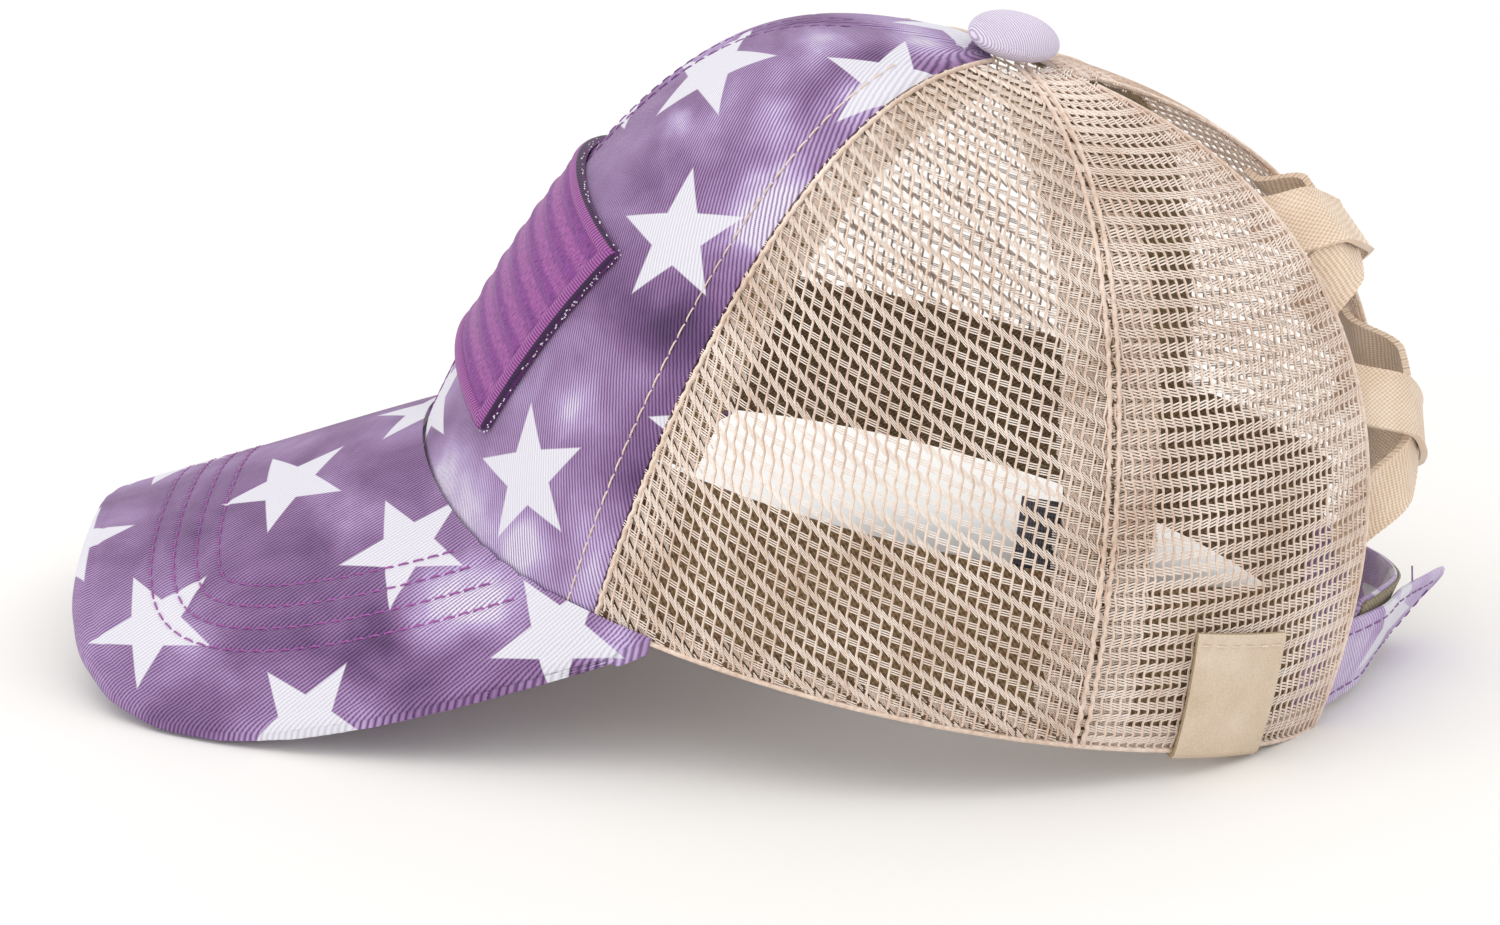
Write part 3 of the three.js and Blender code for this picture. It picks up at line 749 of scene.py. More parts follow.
def knitLines(knit, size):
    # the yarns and bars of a flat piece of net, in millimetres to the right and up
    width, height = size
    pitch, row = knit["pitch"], knit["row"]
    fall = math.tan(math.radians(knit["shear"]))
    yarns, bars = [], []
    columns = int(width / pitch) + 2
    rows = int(height / row) + 2
    skew = int(width * abs(fall) / row) + 2
    level = lambda k, s: k * row + fall * s
    for i in range(-columns, columns + 1):
        line = []
        for k in range(-rows - skew, rows + skew + 1):
            sign = 1 if k % 2 else -1
            base = i * pitch
            hole = level(k + 0.5, base)
            at = base + sign * knit["sway"] / 2 + knit["lean"] * hole
            line.append((at, hole - netYarn["straight"]))
            line.append((at, hole + netYarn["straight"]))
        yarns.append(np.array(line))
        for k in range(-rows - skew, rows + skew + 1):
            slope = math.tan(math.radians(knit["bars"][k % 2]))
            middle = level(k, (i + 0.5) * pitch)
            for n in range(netYarn["filaments"]):
                t = middle + (n - 1) * knit["spacing"]
                lean = knit["lean"] * t
                bars.append(((i * pitch + lean, t - slope * pitch / 2),
                             ((i + 0.5) * pitch + lean, t),
                             ((i + 1) * pitch + lean, t + slope * pitch / 2)))
    return yarns, np.array(bars)


def netPiece(name, knit, side, middle, inside, depth, node=None, offset=(0, 0)):
    # the flat net is laid on the crown along a middle meridian and cut at the seams
    middle = math.radians(middle)
    ways = np.linspace(0, 0.995, 400)
    run = clothLength(np.full(400, middle), ways)
    perAngle = np.linalg.norm(crown(middle + 0.01, ways) - crown(middle - 0.01, ways), axis=-1) / 0.02

    def laid(flat, depth):
        s, t = flat[..., 0] + offset[0], flat[..., 1] + offset[1]
        way = np.interp(t, run, ways, left=-1)
        angle = middle + s / np.interp(t, run, perAngle)
        kept = (t > 0) & (t < run[-1]) & inside(angle, np.clip(way, 0, 1), t)
        return lifted(side * angle, np.clip(way, 0, 1), -depth), kept

    yarns, bars = knitLines(knit, (70, run[-1]))
    lines = []
    for yarn in yarns:
        points, kept = laid(yarn, depth)
        runs = np.split(np.arange(len(kept)), np.flatnonzero(np.diff(kept)) + 1)
        lines += [points[part] for part in runs if kept[part[0]] and len(part) > 2]
    yarnMesh = threads(name, lines, netYarn["radius"])
    points, kept = laid(bars, depth + netYarn["barDepth"])
    barMesh = threads(name, points[kept[:, 1]], knit["thread"])
    addPiece(yarnMesh, materials["net"], "net", *([node] if node else []))
    barMesh.name = name + "_filaments"
    addPiece(barMesh, materials["netShine"], "net")
    print(name, len(yarnMesh.polygons), len(barMesh.polygons))


def within(first, second, trim=0.0):
    def inside(angle, way, t):
        radius = np.maximum(radiusAt(angle, way), 1)
        return (
            ((angle - first(way)) * radius > trim)
            & ((second(way) - angle) * radius > trim)
            & (way < wayAtRadius(angle, cap["topHole"] + 3))
        )
    return inside


def alongSeams(first, second, reach, rim):
    # the doubled cloth: along both seams and, for a given height, along the rim
    whole = within(first, second)
    def inside(angle, way, t):
        radius = np.maximum(radiusAt(angle, way), 1)
        nearFirst = (angle - first(way)) * radius < reach[0]
        nearSecond = (second(way) - angle) * radius < reach[1]
        return whole(angle, way, t) & (nearFirst | nearSecond | (t < rim))
    return inside


def buildNet(side):
    name = "left" if side > 0 else "right"
    middle = (cap["frontSeam"] + cap["sideSeam"]) / 2
    seams = seamAt(cap["frontSeam"]), seamAt(cap["sideSeam"])
    edges = seamAt(cap["sideSeam"]), openingAngle
    for panel, inner, knit, middle, bounds in (
        ("side", "allowance", sideKnit, middle, seams), ("back", "hem", backKnit, 138, edges),
    ):
        netPiece(f"{panel}_net_{name}", knit, side, middle, within(*bounds), netYarn["depth"],
                 f"{panel}_panel_{name}")
        netPiece(f"{panel}_net_{inner}_{name}", knit, side, middle,
                 alongSeams(*bounds, knit["turnedIn"], netYarn["turnedRim"]),
                 netYarn["turnedDepth"], None, knit["offset"])


for side in (1, -1):
    buildNet(side)
print("net made")


# Folded edges of the net: rolls along the seams, the opening and the rim

def buildEdges(side):
    name = "left" if side > 0 else "right"
    ways = np.linspace(0.004, 0.975, 260)
    lines = []
    for seam, offsets in ((cap["frontSeam"], (0.75,)), (cap["sideSeam"], (-0.75, 0.75))):
        for offset in offsets:
            angles = math.radians(seam) + offset / np.maximum(5, radiusAt(math.radians(seam), ways))
            wave = 0.12 * np.sin(clothLength(angles, ways) * 2 * math.pi / 2.7)
            lines.append(lifted(side * (angles + wave / 60), ways, -0.2))
    opening = openingAngle(ways * 0.95) - 0.4 / radiusAt(halfTurn, ways * 0.95)
    lines.append(lifted(side * opening, ways * 0.95, -0.35))
    rimAngles = np.linspace(math.radians(cap["frontSeam"]) + 0.02, float(openingAngle(0.0)) - 0.01, 200)
    lines.append(lifted(side * rimAngles, 0.002, -0.4))
    addPiece(threads(f"net_edges_{name}", lines, 0.48, 1), materials["net"], "net")


for side in (1, -1):
    buildEdges(side)


# Inside: sweatband and seam tapes
sweatband = dict(height=32, thickness=1, tuck=11)


def buildSweatband():
    edge = float(openingAngle(0.0)) - sweatband["tuck"] / float(radiusAt(openingAngle(0.0), 0))

    def at(u, w, inner):
        angle = mix(-edge, edge, w)
        way = wayAtLength(angle, u * sweatband["height"])
        bulge = 0.35 * np.sin(u * halfTurn) + 0.2 * np.sin(angle * 23) * smooth(u)
        bulge = np.minimum(bulge, 0.5) * inner
        return lifted(angle, way, -(depths["lining"] + inner * sweatband["thickness"]) - bulge)

    def uvAt(u, w):
        return mix(-edge, edge, w) * 80, u * sweatband["height"]

    addPiece(closedSheet("sweatband_cloth", 24, 360, at, uvAt),
             materials["sweatband"], "lining", "sweatband")
    angles = np.linspace(-edge, edge, 900)
    for name, height in (("top", 29), ("bottom", 3)):
        ways = wayAtLength(angles, angles * 0 + height)
        path = lifted(angles, ways, -(depths["lining"] + sweatband["thickness"] + 0.1))
        addPiece(threads(f"sweatband_stitches_{name}",
                         stitchLines(path, -crownNormal(angles, ways), 2.4, 0.8), 0.18),
                 materials["khakiThread"], "lining")


buildSweatband()

tape = dict(width=15, thickness=0.6, topRadius=9)


def buildTape(name, angle):
    centre = math.radians(angle)
    top = float(wayAtRadius(centre, tape["topRadius"]))

    def halfAt(way):
        radius = radiusAt(centre, way)
        return np.minimum(tape["width"] / 2, radius * math.tan(math.radians(25))) / radius

    def placeAt(u, w):
        lowest = wayAtLength(centre, sweatband["height"])
        low = centre + (2 * w - 1) * halfAt(lowest)
        bottom = wayAtLength(low, sweatband["height"] + 0.9)
        way = mix(bottom, top, 1 - (1 - u) ** 1.5)
        return centre + (2 * w - 1) * halfAt(way), way

    def at(u, w, inner):
        angles, ways = placeAt(u, w)
        fold = 0.2 * ridge(np.minimum(w, 1 - w), 0.06)
        return lifted(angles, ways, -(depths["lining"] + inner * (tape["thickness"] + fold)))

    def uvAt(u, w):
        angles, ways = placeAt(u, w)
        return w * tape["width"], clothLength(angles, ways)

    addPiece(closedSheet(f"{name}_cloth", 60, 16, at, uvAt), materials["tape"], "lining", name)
    lines = []
    for share in (0.14, 0.86):
        u = np.linspace(0.01, 0.97, 260)
        angles, ways = placeAt(u, u * 0 + share)
        lines.extend(stitchLines(lifted(angles, ways, 0.06 - depths["lining"]),
                                 crownNormal(angles, ways), 2.6, 0.9, 0.1, 0.2))
    addPiece(threads(f"{name}_stitches", lines, 0.16), materials["khakiThread"], "lining")


buildTape("front_seam_tape_left", cap["frontSeam"])
buildTape("side_seam_tape_left", cap["sideSeam"])
buildTape("front_seam_tape_right", -cap["frontSeam"])
buildTape("side_seam_tape_right", -cap["sideSeam"])
print("lining made")


# Patch: embroidered, with a thick overlocked border round seven raised satin stripes
patch = dict(
    width=72, height=47, bottom=0.126, top=0.42, corner=2.2,
    seat=0.45, edge=1.35, ground=1.85, ridge=0.32, border=3.2, borderRise=1.0, stripes=7,
    # the last is the width of the painted shade along the border's outer edge
    specks=260, paintedEdgeShadeWidth=0.6,
)


def patchLocal(u, w):
    # millimetres from the patch's middle, with the corners pulled round, and the distance to its edge
    x, y = (w - 0.5) * patch["width"], (u - 0.5) * patch["height"]
    halfX, halfY = patch["width"] / 2, patch["height"] / 2
    pastX = np.maximum(0, abs(x) - halfX + patch["corner"])
    pastY = np.maximum(0, abs(y) - halfY + patch["corner"])
    pull = np.maximum(pastX, pastY) / np.maximum(np.hypot(pastX, pastY), 1e-6)
    fromEdge = np.minimum(halfX - abs(x), halfY - abs(y))
    x = np.sign(x) * (abs(x) - pastX * (1 - pull))
    y = np.sign(y) * (abs(y) - pastY * (1 - pull))
    return x, y, fromEdge


def patchPlace(x, y):
    way = mix(patch["bottom"], patch["top"], y / patch["height"] + 0.5)
    near = 0.3
    perRadian = np.linalg.norm(crown(near + 0.01, way) - crown(near - 0.01, way), axis=-1) / 0.02
    return -x / perRadian, way


def embroidery(bands):
    # Rayon thread: satin in raised and sunk stripes, and a border stitched square to the edge.
    material, tree, principled = startMaterial(
        "rayon embroidery", **{"Roughness": 0.5, "Sheen Weight": 0.08, "Specular IOR Level": 0.4})
    cloth = addNode(tree, "TexCoord").outputs["UV"]
    split = addNode(tree, "SeparateXYZ", (cloth,))
    sideways, upright = (
        addNode(tree, "Math", (size / 2, addNode(tree, "Math", (part,), operation="ABSOLUTE")),
                operation="SUBTRACT")
        for size, part in zip((patch["width"], patch["height"]), split.outputs)
    )
    atSide = addNode(tree, "Math", (sideways, upright), operation="LESS_THAN")
    fromEdge = addNode(tree, "Math", (sideways, upright), operation="MINIMUM")
    onBorder = addNode(tree, "Math", (fromEdge, patch["border"]), operation="LESS_THAN")
    inPaintedEdgeShade = addNode(tree, "Math", (fromEdge, patch["paintedEdgeShadeWidth"]), operation="LESS_THAN")
    acrossTop = ribs(tree, cloth, 0, 0.62, 0.25)  # border threads lie square to the patch's edge
    acrossSide = ribs(tree, cloth, 90, 0.62, 0.25)
    binding = addNode(tree, "Mix", {0: atSide, 2: acrossTop, 3: acrossSide})
    satin = ribs(tree, cloth, 8, 0.42, 0.6)
    # stretched noise: streaks along the satin, partly thread texture and partly painted glint
    stretched = addNode(tree, "VectorMath", (cloth, (3.4, 0.8, 1)), operation="MULTIPLY")
    satinStreaksAndGlint = addNode(tree, "TexNoise", {"Vector": stretched, "Scale": 1.0, "Detail": 4.0})
    satinStreaksAndGlint = addNode(tree, "Math", (satinStreaksAndGlint, 2.0, -0.6), operation="MULTIPLY_ADD")
    satin = addNode(tree, "Math", (satin, 0.25, satinStreaksAndGlint), operation="MULTIPLY_ADD", use_clamp=True)
    thread = addNode(tree, "Mix", {0: onBorder, 2: satin, 3: binding})
    level = addNode(tree, "Math", (split.outputs[1], bands / patch["height"], bands / 2 + 0.5),
                    operation="MULTIPLY_ADD")
    stripe = addNode(tree, "Math", (level, 1.0), operation="PINGPONG")  # 1 along each ridge
    stripe = addNode(tree, "MapRange", (stripe, 0.35, 0.75, 0.0, 1.0), interpolation_type="SMOOTHSTEP")
    raised = addNode(tree, "Math", (stripe, onBorder), operation="MAXIMUM")
    # two copies of the one thread colour: the lighter on the raised stripes and border, the darker in
    # the sunk ground, painted light and shade; each ramp also paints shade between the threads
    sunk = addNode(tree, "ValToRGB", (thread,), ((0.1, "521e68"), (0.9, "954298")))
    high = addNode(tree, "ValToRGB", (thread,), ((0.1, "62246a"), (0.9, "b05fab")))
    tint = addNode(tree, "Mix", {0: raised, 6: sunk, 7: high}, data_type="RGBA").outputs[2]
    # the border's outermost strip is painted nearly black purple: painted shade where the rolled edge
    # turns down
    tint = addNode(tree, "Mix", {0: inPaintedEdgeShade, 6: tint, 7: colour("351342")}, data_type="RGBA")
    finishSurface(tree, principled, tint.outputs[2], thread, 0.14)
    return material


def buildPatch():
    bands = 2 * patch["stripes"] + 1

    def at(u, w, inner):
        x, y, fromEdge = patchLocal(u, w)
        angle, way = patchPlace(x, y)
        share = np.clip(fromEdge / patch["border"], 0, 1)
        roll = np.sqrt(np.maximum(0, 1 - (2 * share - 1) ** 2))
        inside = fromEdge > patch["border"]
        ridges = sum(
            ridge(y - ((2 * k + 1.5) / bands - 0.5) * patch["height"], 0.95)
            for k in range(patch["stripes"])
        )
        field = patch["ground"] + patch["ridge"] * ridges * smooth((fromEdge - patch["border"]) / 0.8)
        border = mix(patch["edge"], patch["ground"] - 0.15, share) + patch["borderRise"] * roll
        lift = np.where(inside, field, border)
        return lifted(angle, way, np.where(inner > 0.5, patch["seat"], lift))

    def uvAt(u, w):
        return patchLocal(u, w)[:2]

    # the side walls take a much darker copy of the border thread: painted shade on the patch's sides
    backing = yarnMaterial("overlock thread, sides in painted shade", "34123f", "662a70", 0.4, 0.85)
    addPiece(closedSheet("patch_embroidery", 170, 230, at, uvAt), embroidery(bands), "patch",
             "front_patch", edge=backing)


def buildTufts():
    # tufts of the white backing that show between the border's threads, round the edge
    rng = np.random.default_rng(4)
    lines = []
    for turn in np.sort(rng.uniform(0, 1, patch["specks"])):
        walk = turn * 2 * (patch["width"] + patch["height"])
        along = np.array((0, rng.uniform(0.12, 0.4)))
        if walk < 2 * patch["width"]:
            x = (walk % patch["width"]) - patch["width"] / 2 + along
            y = np.full(2, (1 if walk < patch["width"] else -1) * (patch["height"] / 2 + 0.06))
        else:
            walk -= 2 * patch["width"]
            y = (walk % patch["height"]) - patch["height"] / 2 + along
            x = np.full(2, (1 if walk < patch["height"] else -1) * (patch["width"] / 2 + 0.06))
        lines.append(lifted(*patchPlace(x, y), rng.uniform(0.7, 1.5) + rng.uniform(-0.1, 0.1, 2)))
    addPiece(threads("patch_backing_tufts", lines, 0.12), materials["whiteThread"], "patch")


buildPatch()
buildTufts()
print("patch made")


# Crossed elastic bands, each from behind one net edge to behind the other
elastic = dict(width=10, thickness=1, tuck=5, rise=5.2, bend=0.55, edgeRoll=0.3)


def buildElastic(name, source, upper, lower, onTop):
    start = float(openingAngle(upper)) - elastic["tuck"] / float(radiusAt(halfTurn, upper))
    end = 2 * halfTurn - float(openingAngle(lower)) + elastic["tuck"] / float(radiusAt(halfTurn, lower))
    under = 0 if onTop else elastic["thickness"] + 0.6
    tucked = -(depths["net"] + 0.7) - under
    proud = elastic["rise"] - under
    line = lambda t: crown(source * mix(start, end, t), mix(upper, lower, t))

    def at(u, w, inner):
        way = mix(upper, lower, u)
        normal = crownNormal(source * mix(start, end, u), way)
        run = unit(line(u + 0.02) - line(u - 0.02))
        place = line(u) + unit(np.cross(run, normal)) * ((w - 0.5) * elastic["width"])[..., None]
        climb = (crown(halfTurn, way + 0.01)[..., 2] - crown(halfTurn, way)[..., 2]) / 0.01
        wayHere = way + (place[..., 2] - line(u)[..., 2]) / climb
        fromEdge = openingHalf(wayHere) - abs(place[..., 1])
        lift = mix(tucked, proud, smooth((fromEdge - 1) / (openingHalf(wayHere) * elastic["bend"])))
        roll = ridge(np.minimum(w, 1 - w), 0.07) * elastic["edgeRoll"]
        corrugation = 0.05 * np.sin(u * 2 * math.pi * 46)
        face = np.where(inner > 0.5, -elastic["thickness"] - roll * 0.4, (roll - 0.12) + corrugation)
        return place + normal * (lift + face)[..., None]

    length = np.linalg.norm(np.diff(line(np.linspace(0, 1, 60)), axis=0), axis=1).sum()
    uvAt = lambda u, w: (w * elastic["width"], u * length)
    addPiece(closedSheet(f"{name}_band", 220, 30, at, uvAt), materials["elastic"], "elastic", name)


buildElastic("elastic_upper_outer", 1, 0.685, 0.528, True)
buildElastic("elastic_upper_inner", -1, 0.685, 0.528, False)
buildElastic("elastic_lower_outer", 1, 0.44, 0.225, True)
buildElastic("elastic_lower_inner", -1, 0.44, 0.225, False)
print("elastic made")


# Strap: two halves that meet with hook and loop tape. Each knot gives x, y and z of the outer
# face's lower edge and how far the upper edge leans out.
strap = dict(
    height=18, thickness=1.4, stitchInset=2.8,
    left=((80.2, -31.5, 0.5, 0), (83.2, -26.5, 0.8, 0), (87, -20, 1.8, 0.6), (91.8, -10, 3, 2.2),
          (93.8, 0, 4, 3.6), (95.6, 10, 4.2, 6), (97.4, 21, 4, 8.2)),
    right=((80.2, 31.5, 0.5, 0), (83.2, 26.5, 0.8, 0), (86.6, 20, 2.6, 0.6), (90.3, 10, 4.8, 2.2),
           (91.7, 0, 6, 3.3), (90, -9, 5.2, 2), (87.1, -16, 4.4, 1.1)),
)


def throughKnots(knots, t):  # a smooth curve through points, evenly from knot to knot
    knots = np.asarray(knots, float)
    knots = np.vstack((2 * knots[0] - knots[1], knots, 2 * knots[-1] - knots[-2]))
    place = np.clip(t, 0, 1) * (len(knots) - 3)
    i = np.minimum(place.astype(int), len(knots) - 4)
    f = (place - i)[..., None]
    p0, p1, p2, p3 = (knots[i + k] for k in range(4))
    return 0.5 * (2 * p1 + (p2 - p0) * f + (2 * p0 - 5 * p1 + 4 * p2 - p3) * f ** 2
                  + (3 * p1 - p0 - 3 * p2 + p3) * f ** 3)


def strapFace(half):
    knots = strap[half]
    low = [(x, y, z) for x, y, z, _ in knots]
    high = [(x + lean, y, z + math.sqrt(strap["height"] ** 2 - lean ** 2)) for x, y, z, lean in knots]
    return lambda u, w: mix(throughKnots(low, u), throughKnots(high, u), np.asarray(w)[..., None])


def strapNormal(face, u, w):
    along = face(np.minimum(u + 0.02, 1), w) - face(np.maximum(u - 0.02, 0), w)
    normal = unit(np.cross(along, face(u, w * 0 + 1) - face(u, w * 0)))
    return normal * np.sign(normal[..., :1])


def strapStar():
    face = strapFace("left")
    here = lambda u, w: face(np.array(u), np.array(w))
    return starFrame(here, 0.63, 0.62, (0.02, 0.05))


def onStrap(half, roundEnd=0.06):
    face = strapFace(half)

    def at(u, w, lift):
        # the free end is rounded; buildStrap softens the long edges through the lift it passes
        reach = np.sqrt(np.maximum(0, 1 - np.clip((u - 1 + roundEnd) / roundEnd, 0, 1) ** 2))
        w = 0.5 + (w - 0.5) * mix(0.45, 1, reach)
        return face(u, w) + strapNormal(face, u, w) * np.asarray(lift)[..., None]

    return at


def buildStrap(half):
    on = onStrap(half)
    side = 1 if half == "left" else -1

    def at(u, w, inner):
        edge = np.minimum(w, 1 - w) * strap["height"]
        soft = 0.45 * ridge(edge, 0.5)
        seam = 0.16 * ridge(edge - strap["stitchInset"], 0.5)
        outside = -soft - seam + 0.06 * np.sin(u * 41 + w * 5)
        return on(u, w, np.where(inner > 0.5, soft - strap["thickness"], outside))

    face = strapFace(half)
    length = np.linalg.norm(np.diff(face(np.linspace(0, 1, 90), np.zeros(90)), axis=0), axis=1).sum()
    uvAt = lambda u, w: (side * u * length, w * strap["height"])
    addPiece(closedSheet(f"strap_cloth_{half}", 140, 46, at, uvAt), materials["strapTwill"], "twill",
             f"strap_{half}")
    lines = []
    u = np.linspace(0.02, 0.93, 300)
    for inset in (strap["stitchInset"], strap["height"] - strap["stitchInset"]):
        w = u * 0 + inset / strap["height"]
        lines.extend(stitchLines(on(u, w, u * 0 - 0.12), strapNormal(face, u, w), 2.4, 0.7, 0.14, 0.2))
    w = np.linspace(0.16, 0.84, 60)
    u = w * 0 + 0.93
    lines.extend(stitchLines(on(u, w, w * 0), strapNormal(face, u, w), 2.0, 0.7, 0.14, 0.2))
    addPiece(threads(f"strap_stitches_{half}", lines, 0.17), materials["purpleThread"], "twill")


def buildLoopTape():
    on = onStrap("right")
    at = lambda u, w, inner: on(mix(0.3, 0.97, u), mix(0.1, 0.985, w), 0.45 - 0.4 * inner)
    uvAt = lambda u, w: (u * 50, w * 16)
    addPiece(closedSheet("loop_tape", 80, 24, at, uvAt), materials["loopTape"], "lining")


looseThread = dict(low=(98.2, 3.6, 20.5), high=(97, 1.8, 25.6), sway=0.5)


def buildLooseThread():
    t = np.linspace(0, 1, 14)
    path = mix(np.array(looseThread["low"]), np.array(looseThread["high"]), t[:, None])
    path[:, 1] += np.sin(t * 5) * looseThread["sway"]
    addPiece(threads("loose_thread", [path], 0.16), materials["purpleThread"], "twill")


materials["strapTwill"] = dyedTwill("dyed cotton twill, strap", 0.52, 32, [(*strapStar(), 20)],
                                    lighter=0.36, contrast=0.55)
materials["loopTape"] = wovenMaterial("nylon loop tape", "64552f", "a8966c", 0.7, 30, 0.8, 0.95,
                                      0.5, 0.3)
buildStrap("left")
buildStrap("right")
buildLoopTape()
buildLooseThread()
print("strap made")


# Leather tag folded round the rim, and the care label
tag = dict(width=20, outside=24, inside=9, thickness=0.8, angle=137.5, seat=0.5, stitchInset=2.3)
careLabel = dict(width=10, height=27, thickness=0.6, angle=110, bottom=18, depth=3.2)


def leatherMaterial():
    # Split cowhide in cream, lightly embossed by its own grain, with a dull wax finish.
    material, tree, principled = startMaterial(
        "cream split leather", **{"Roughness": 0.68, "Specular IOR Level": 0.35})
    place = addNode(tree, "TexCoord").outputs["Object"]
    grain = addNode(tree, "TexVoronoi", {"Vector": place, "Scale": 1 / (0.75 * mm)})
    fine = addNode(tree, "TexNoise", {"Vector": place, "Scale": 1 / (0.35 * mm), "Detail": 3.0})
    slow = addNode(tree, "TexNoise", {"Vector": place, "Scale": 110.0, "Detail": 3.0})
    half = addNode(tree, "Math", (fine, 0.5), operation="MULTIPLY")
    both = addNode(tree, "Math", (slow, 0.5, half), operation="MULTIPLY_ADD")
    # the fine noise raises the grain and also lightens its tops: partly painted shade in the pits,
    # partly random tone
    tint = addNode(tree, "ValToRGB", (both,), ((0.3, "c8b298"), (0.7, "e4d3c0")))
    height = addNode(tree, "Math", (grain, 0.5, half), operation="MULTIPLY_ADD")
    finishSurface(tree, principled, tint.outputs[0], height, 0.08, 0.8)
    return material


def buildTag():
    outer = tag["seat"] + tag["thickness"]
    inside = -(depths["lining"] + sweatband["thickness"] + tag["seat"] + tag["thickness"])
    under = outer - inside
    whole = tag["outside"] + under + tag["inside"]
    centre = math.radians(tag["angle"])
    half = tag["width"] / 2 / float(radiusAt(centre, 0))

    def at(u, w, inner):
        walked = u * whole - tag["outside"]
        up = np.maximum(0, np.maximum(-walked, walked - under))
        angle = centre + mix(-half, half, w)
        lift = outer - np.clip(walked, 0, under)
        first = np.clip(1 - walked / 0.9, 0, 1)
        last = np.clip(1 - (under - walked) / 0.9, 0, 1)
        lift = lift - inner * tag["thickness"] * (first - last)
        fold = smooth(np.minimum(walked, under - walked) / 0.9)
        drop = (0.3 + tag["thickness"] * (1 - inner)) * fold
        lift = lift + 0.18 * np.sin(w * halfTurn) * smooth(-walked / 6) * (1 - inner)
        place = lifted(angle, wayAtLength(angle, up), lift)
        place[..., 2] -= drop
        return place

    uvAt = lambda u, w: (w * tag["width"], u * whole)
    edge = yarnMaterial("raw leather edge", "8f7b58", "bba57e", 0.5, 0.9)
    addPiece(closedSheet("tag_leather", 110, 40, at, uvAt), leatherMaterial(), "leather", "leather_tag",
             edge=edge)
    w = np.linspace(0.03, 0.99, 80)
    u = w * 0 + tag["stitchInset"] / whole
    angle = centre + mix(-half, half, w)
    path = at(u, w, w * 0)
    normal = crownNormal(angle, wayAtLength(angle, w * 0 + tag["outside"]))
    addPiece(threads("tag_stitches", stitchLines(path, normal, 2.6, 0.6, 0.2, 0.3), 0.2),
             materials["creamThread"], "leather")


def buildCareLabel():
    centre = math.radians(careLabel["angle"])
    half = careLabel["width"] / 2 / float(radiusAt(centre, 0))

    def at(u, w, inner):
        angle = centre + mix(-half, half, w)
        way = wayAtLength(angle, careLabel["bottom"] + u * careLabel["height"])
        curl = 0.35 * np.sin(u * 4) * inner
        return lifted(angle, way, -careLabel["depth"] - inner * careLabel["thickness"] - curl)

    uvAt = lambda u, w: (w * careLabel["width"], u * careLabel["height"])
    addPiece(closedSheet("care_label_satin", 40, 14, at, uvAt), materials["labelSatin"], "care_label",
             "care_label")


materials["labelSatin"] = wovenMaterial("woven polyester satin", "2b2a2e", "66636a", 0.5, 0, 0.9, 0.5)
buildTag()
buildCareLabel()
print("tag and label made")


# Button: a tin shell covered in the same twill
button = dict(radius=8.7, bottom=105.55, height=7.75, roundness=0.9)


def buildButton():
    bm = bmesh.new()
    uvLayer = bm.loops.layers.uv.new("cloth")
    bmesh.ops.create_uvsphere(bm, u_segments=72, v_segments=40, radius=1)
    middle = button["bottom"] + button["height"] * 0.44
    for vert in bm.verts:
        x, y, z = vert.co
        flat = math.hypot(x, y)
        wide = flat ** button["roundness"] / max(flat, 1e-6)
        tall = button["height"] * (0.56 if z > 0 else 0.44)
        vert.co = Vector((x * wide * button["radius"], y * wide * button["radius"], middle + z * tall))
    for face in bm.faces:
        for loop in face.loops:
            x, y, z = loop.vert.co
            swell = 1 + 0.5 * ((x * x + y * y) / button["radius"] ** 2)
            loop[uvLayer].uv = (x * swell, y * swell)
    mesh = bpy.data.meshes.new("button_cloth")
    bm.to_mesh(mesh)
    bm.free()
    corners = np.empty(len(mesh.vertices) * 3)
    mesh.vertices.foreach_get("co", corners)
    mesh.vertices.foreach_set("co", toTable(corners.reshape(-1, 3)).ravel())
    addPiece(shaded(mesh), materials["buttonTwill"], "twill", "button")


buttonStar = (np.array((-6.0, -6.3, 95.3)), np.array((0.72, -0.69, 0)), np.array((0, 0, 1)), 0)
# lighter=0.72 pales the whole button well past the crown's dye: a painted highlight over its own dye
materials["buttonTwill"] = dyedTwill("dyed cotton twill, button, painted highlight", 0.62, 32, [buttonStar],
                                     lighter=0.72, contrast=0.6)
buildButton()
print("button made")


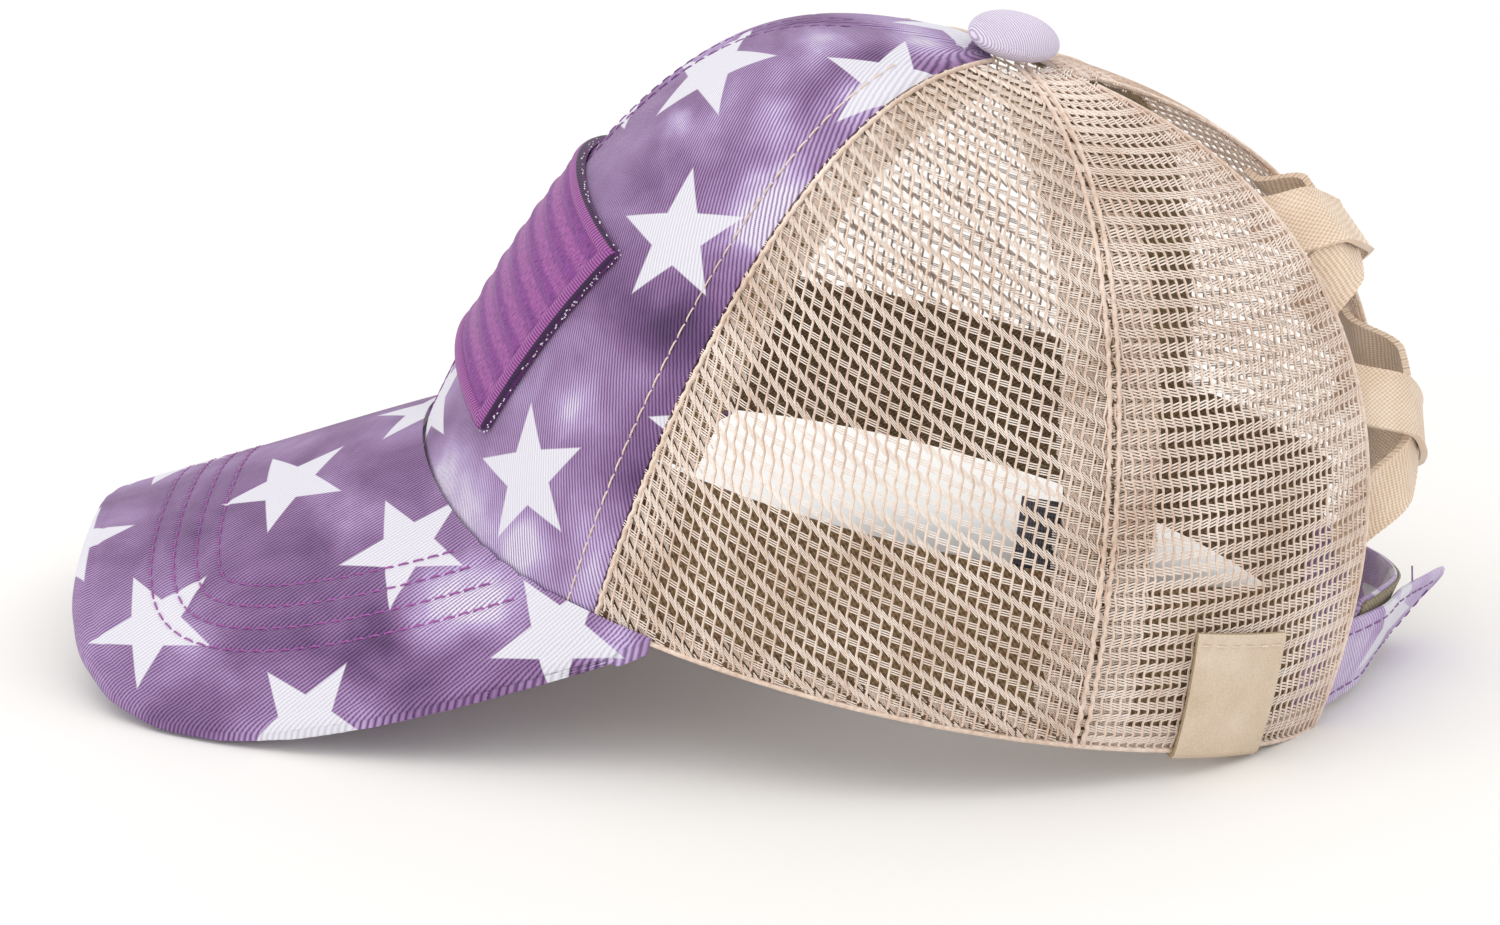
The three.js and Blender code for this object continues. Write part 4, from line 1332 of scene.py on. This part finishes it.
# Table, light and camera: the photograph's own view
view = dict(elevation=20.434, azimuth=7.026, distance=1340.14, lens=168.54,
            target=(-3.017, 0, 38.275))
studio = dict(
    board="f2f1ef", ambient=0.98,
    lights=(  # name, place and size in metres, power and colour
        ("softbox_above", (-0.35, -0.35, 1.1), (1.1, 0.8), 3.3, "fff8f2"),
        ("softbox_left", (-0.9, -0.9, 0.4), (0.7, 0.7), 1.5, "ffffff"),
        ("softbox_back", (0.6, 1.0, 0.7), (0.8, 0.5), 1.6, "ffffff"),
    ),
)


def buildStage():
    bm = bmesh.new()
    bmesh.ops.create_grid(bm, x_segments=1, y_segments=1, size=6)
    mesh = bpy.data.meshes.new("table")
    bm.to_mesh(mesh)
    bm.free()
    table = bpy.data.objects.new("table", mesh)
    bpy.context.scene.collection.objects.link(table)
    board = {"Roughness": 0.9, "Base Color": colour(studio["board"])}
    mesh.materials.append(startMaterial("matt white board", **board)[0])
    world = bpy.data.worlds.new("studio")
    bpy.context.scene.world = world
    world.use_nodes = True
    background = world.node_tree.nodes["Background"]
    background.inputs["Color"].default_value = (1, 1, 1, 1)
    background.inputs["Strength"].default_value = studio["ambient"]


def addLight(name, place, size, power, tint):
    data = bpy.data.lights.new(name, "AREA")
    data.shape = "RECTANGLE"
    data.size, data.size_y = size
    data.energy = power
    data.color = colour(tint)[:3]
    lamp = bpy.data.objects.new(name, data)
    bpy.context.scene.collection.objects.link(lamp)
    lamp.location = place
    lamp.rotation_mode = "QUATERNION"
    lamp.rotation_quaternion = (-Vector(place)).to_track_quat("-Z", "Y")


def buildCamera():
    data = bpy.data.cameras.new("camera")
    data.sensor_width = 36
    data.lens = view["lens"]
    data.clip_start, data.clip_end = 0.05, 30
    camera = bpy.data.objects.new("camera", data)
    bpy.context.scene.collection.objects.link(camera)
    high, turn = math.radians(view["elevation"]), math.radians(view["azimuth"])
    back = Vector((math.sin(turn) * math.cos(high), -math.cos(turn) * math.cos(high), math.sin(high)))
    camera.location = (Vector(view["target"]) + back * view["distance"]) * mm
    camera.rotation_mode = "QUATERNION"
    camera.rotation_quaternion = (-back).to_track_quat("-Z", "Y")
    bpy.context.scene.camera = camera


buildStage()
for light in studio["lights"]:
    addLight(*light)
buildCamera()
bpy.context.scene.view_settings.view_transform = "Standard"
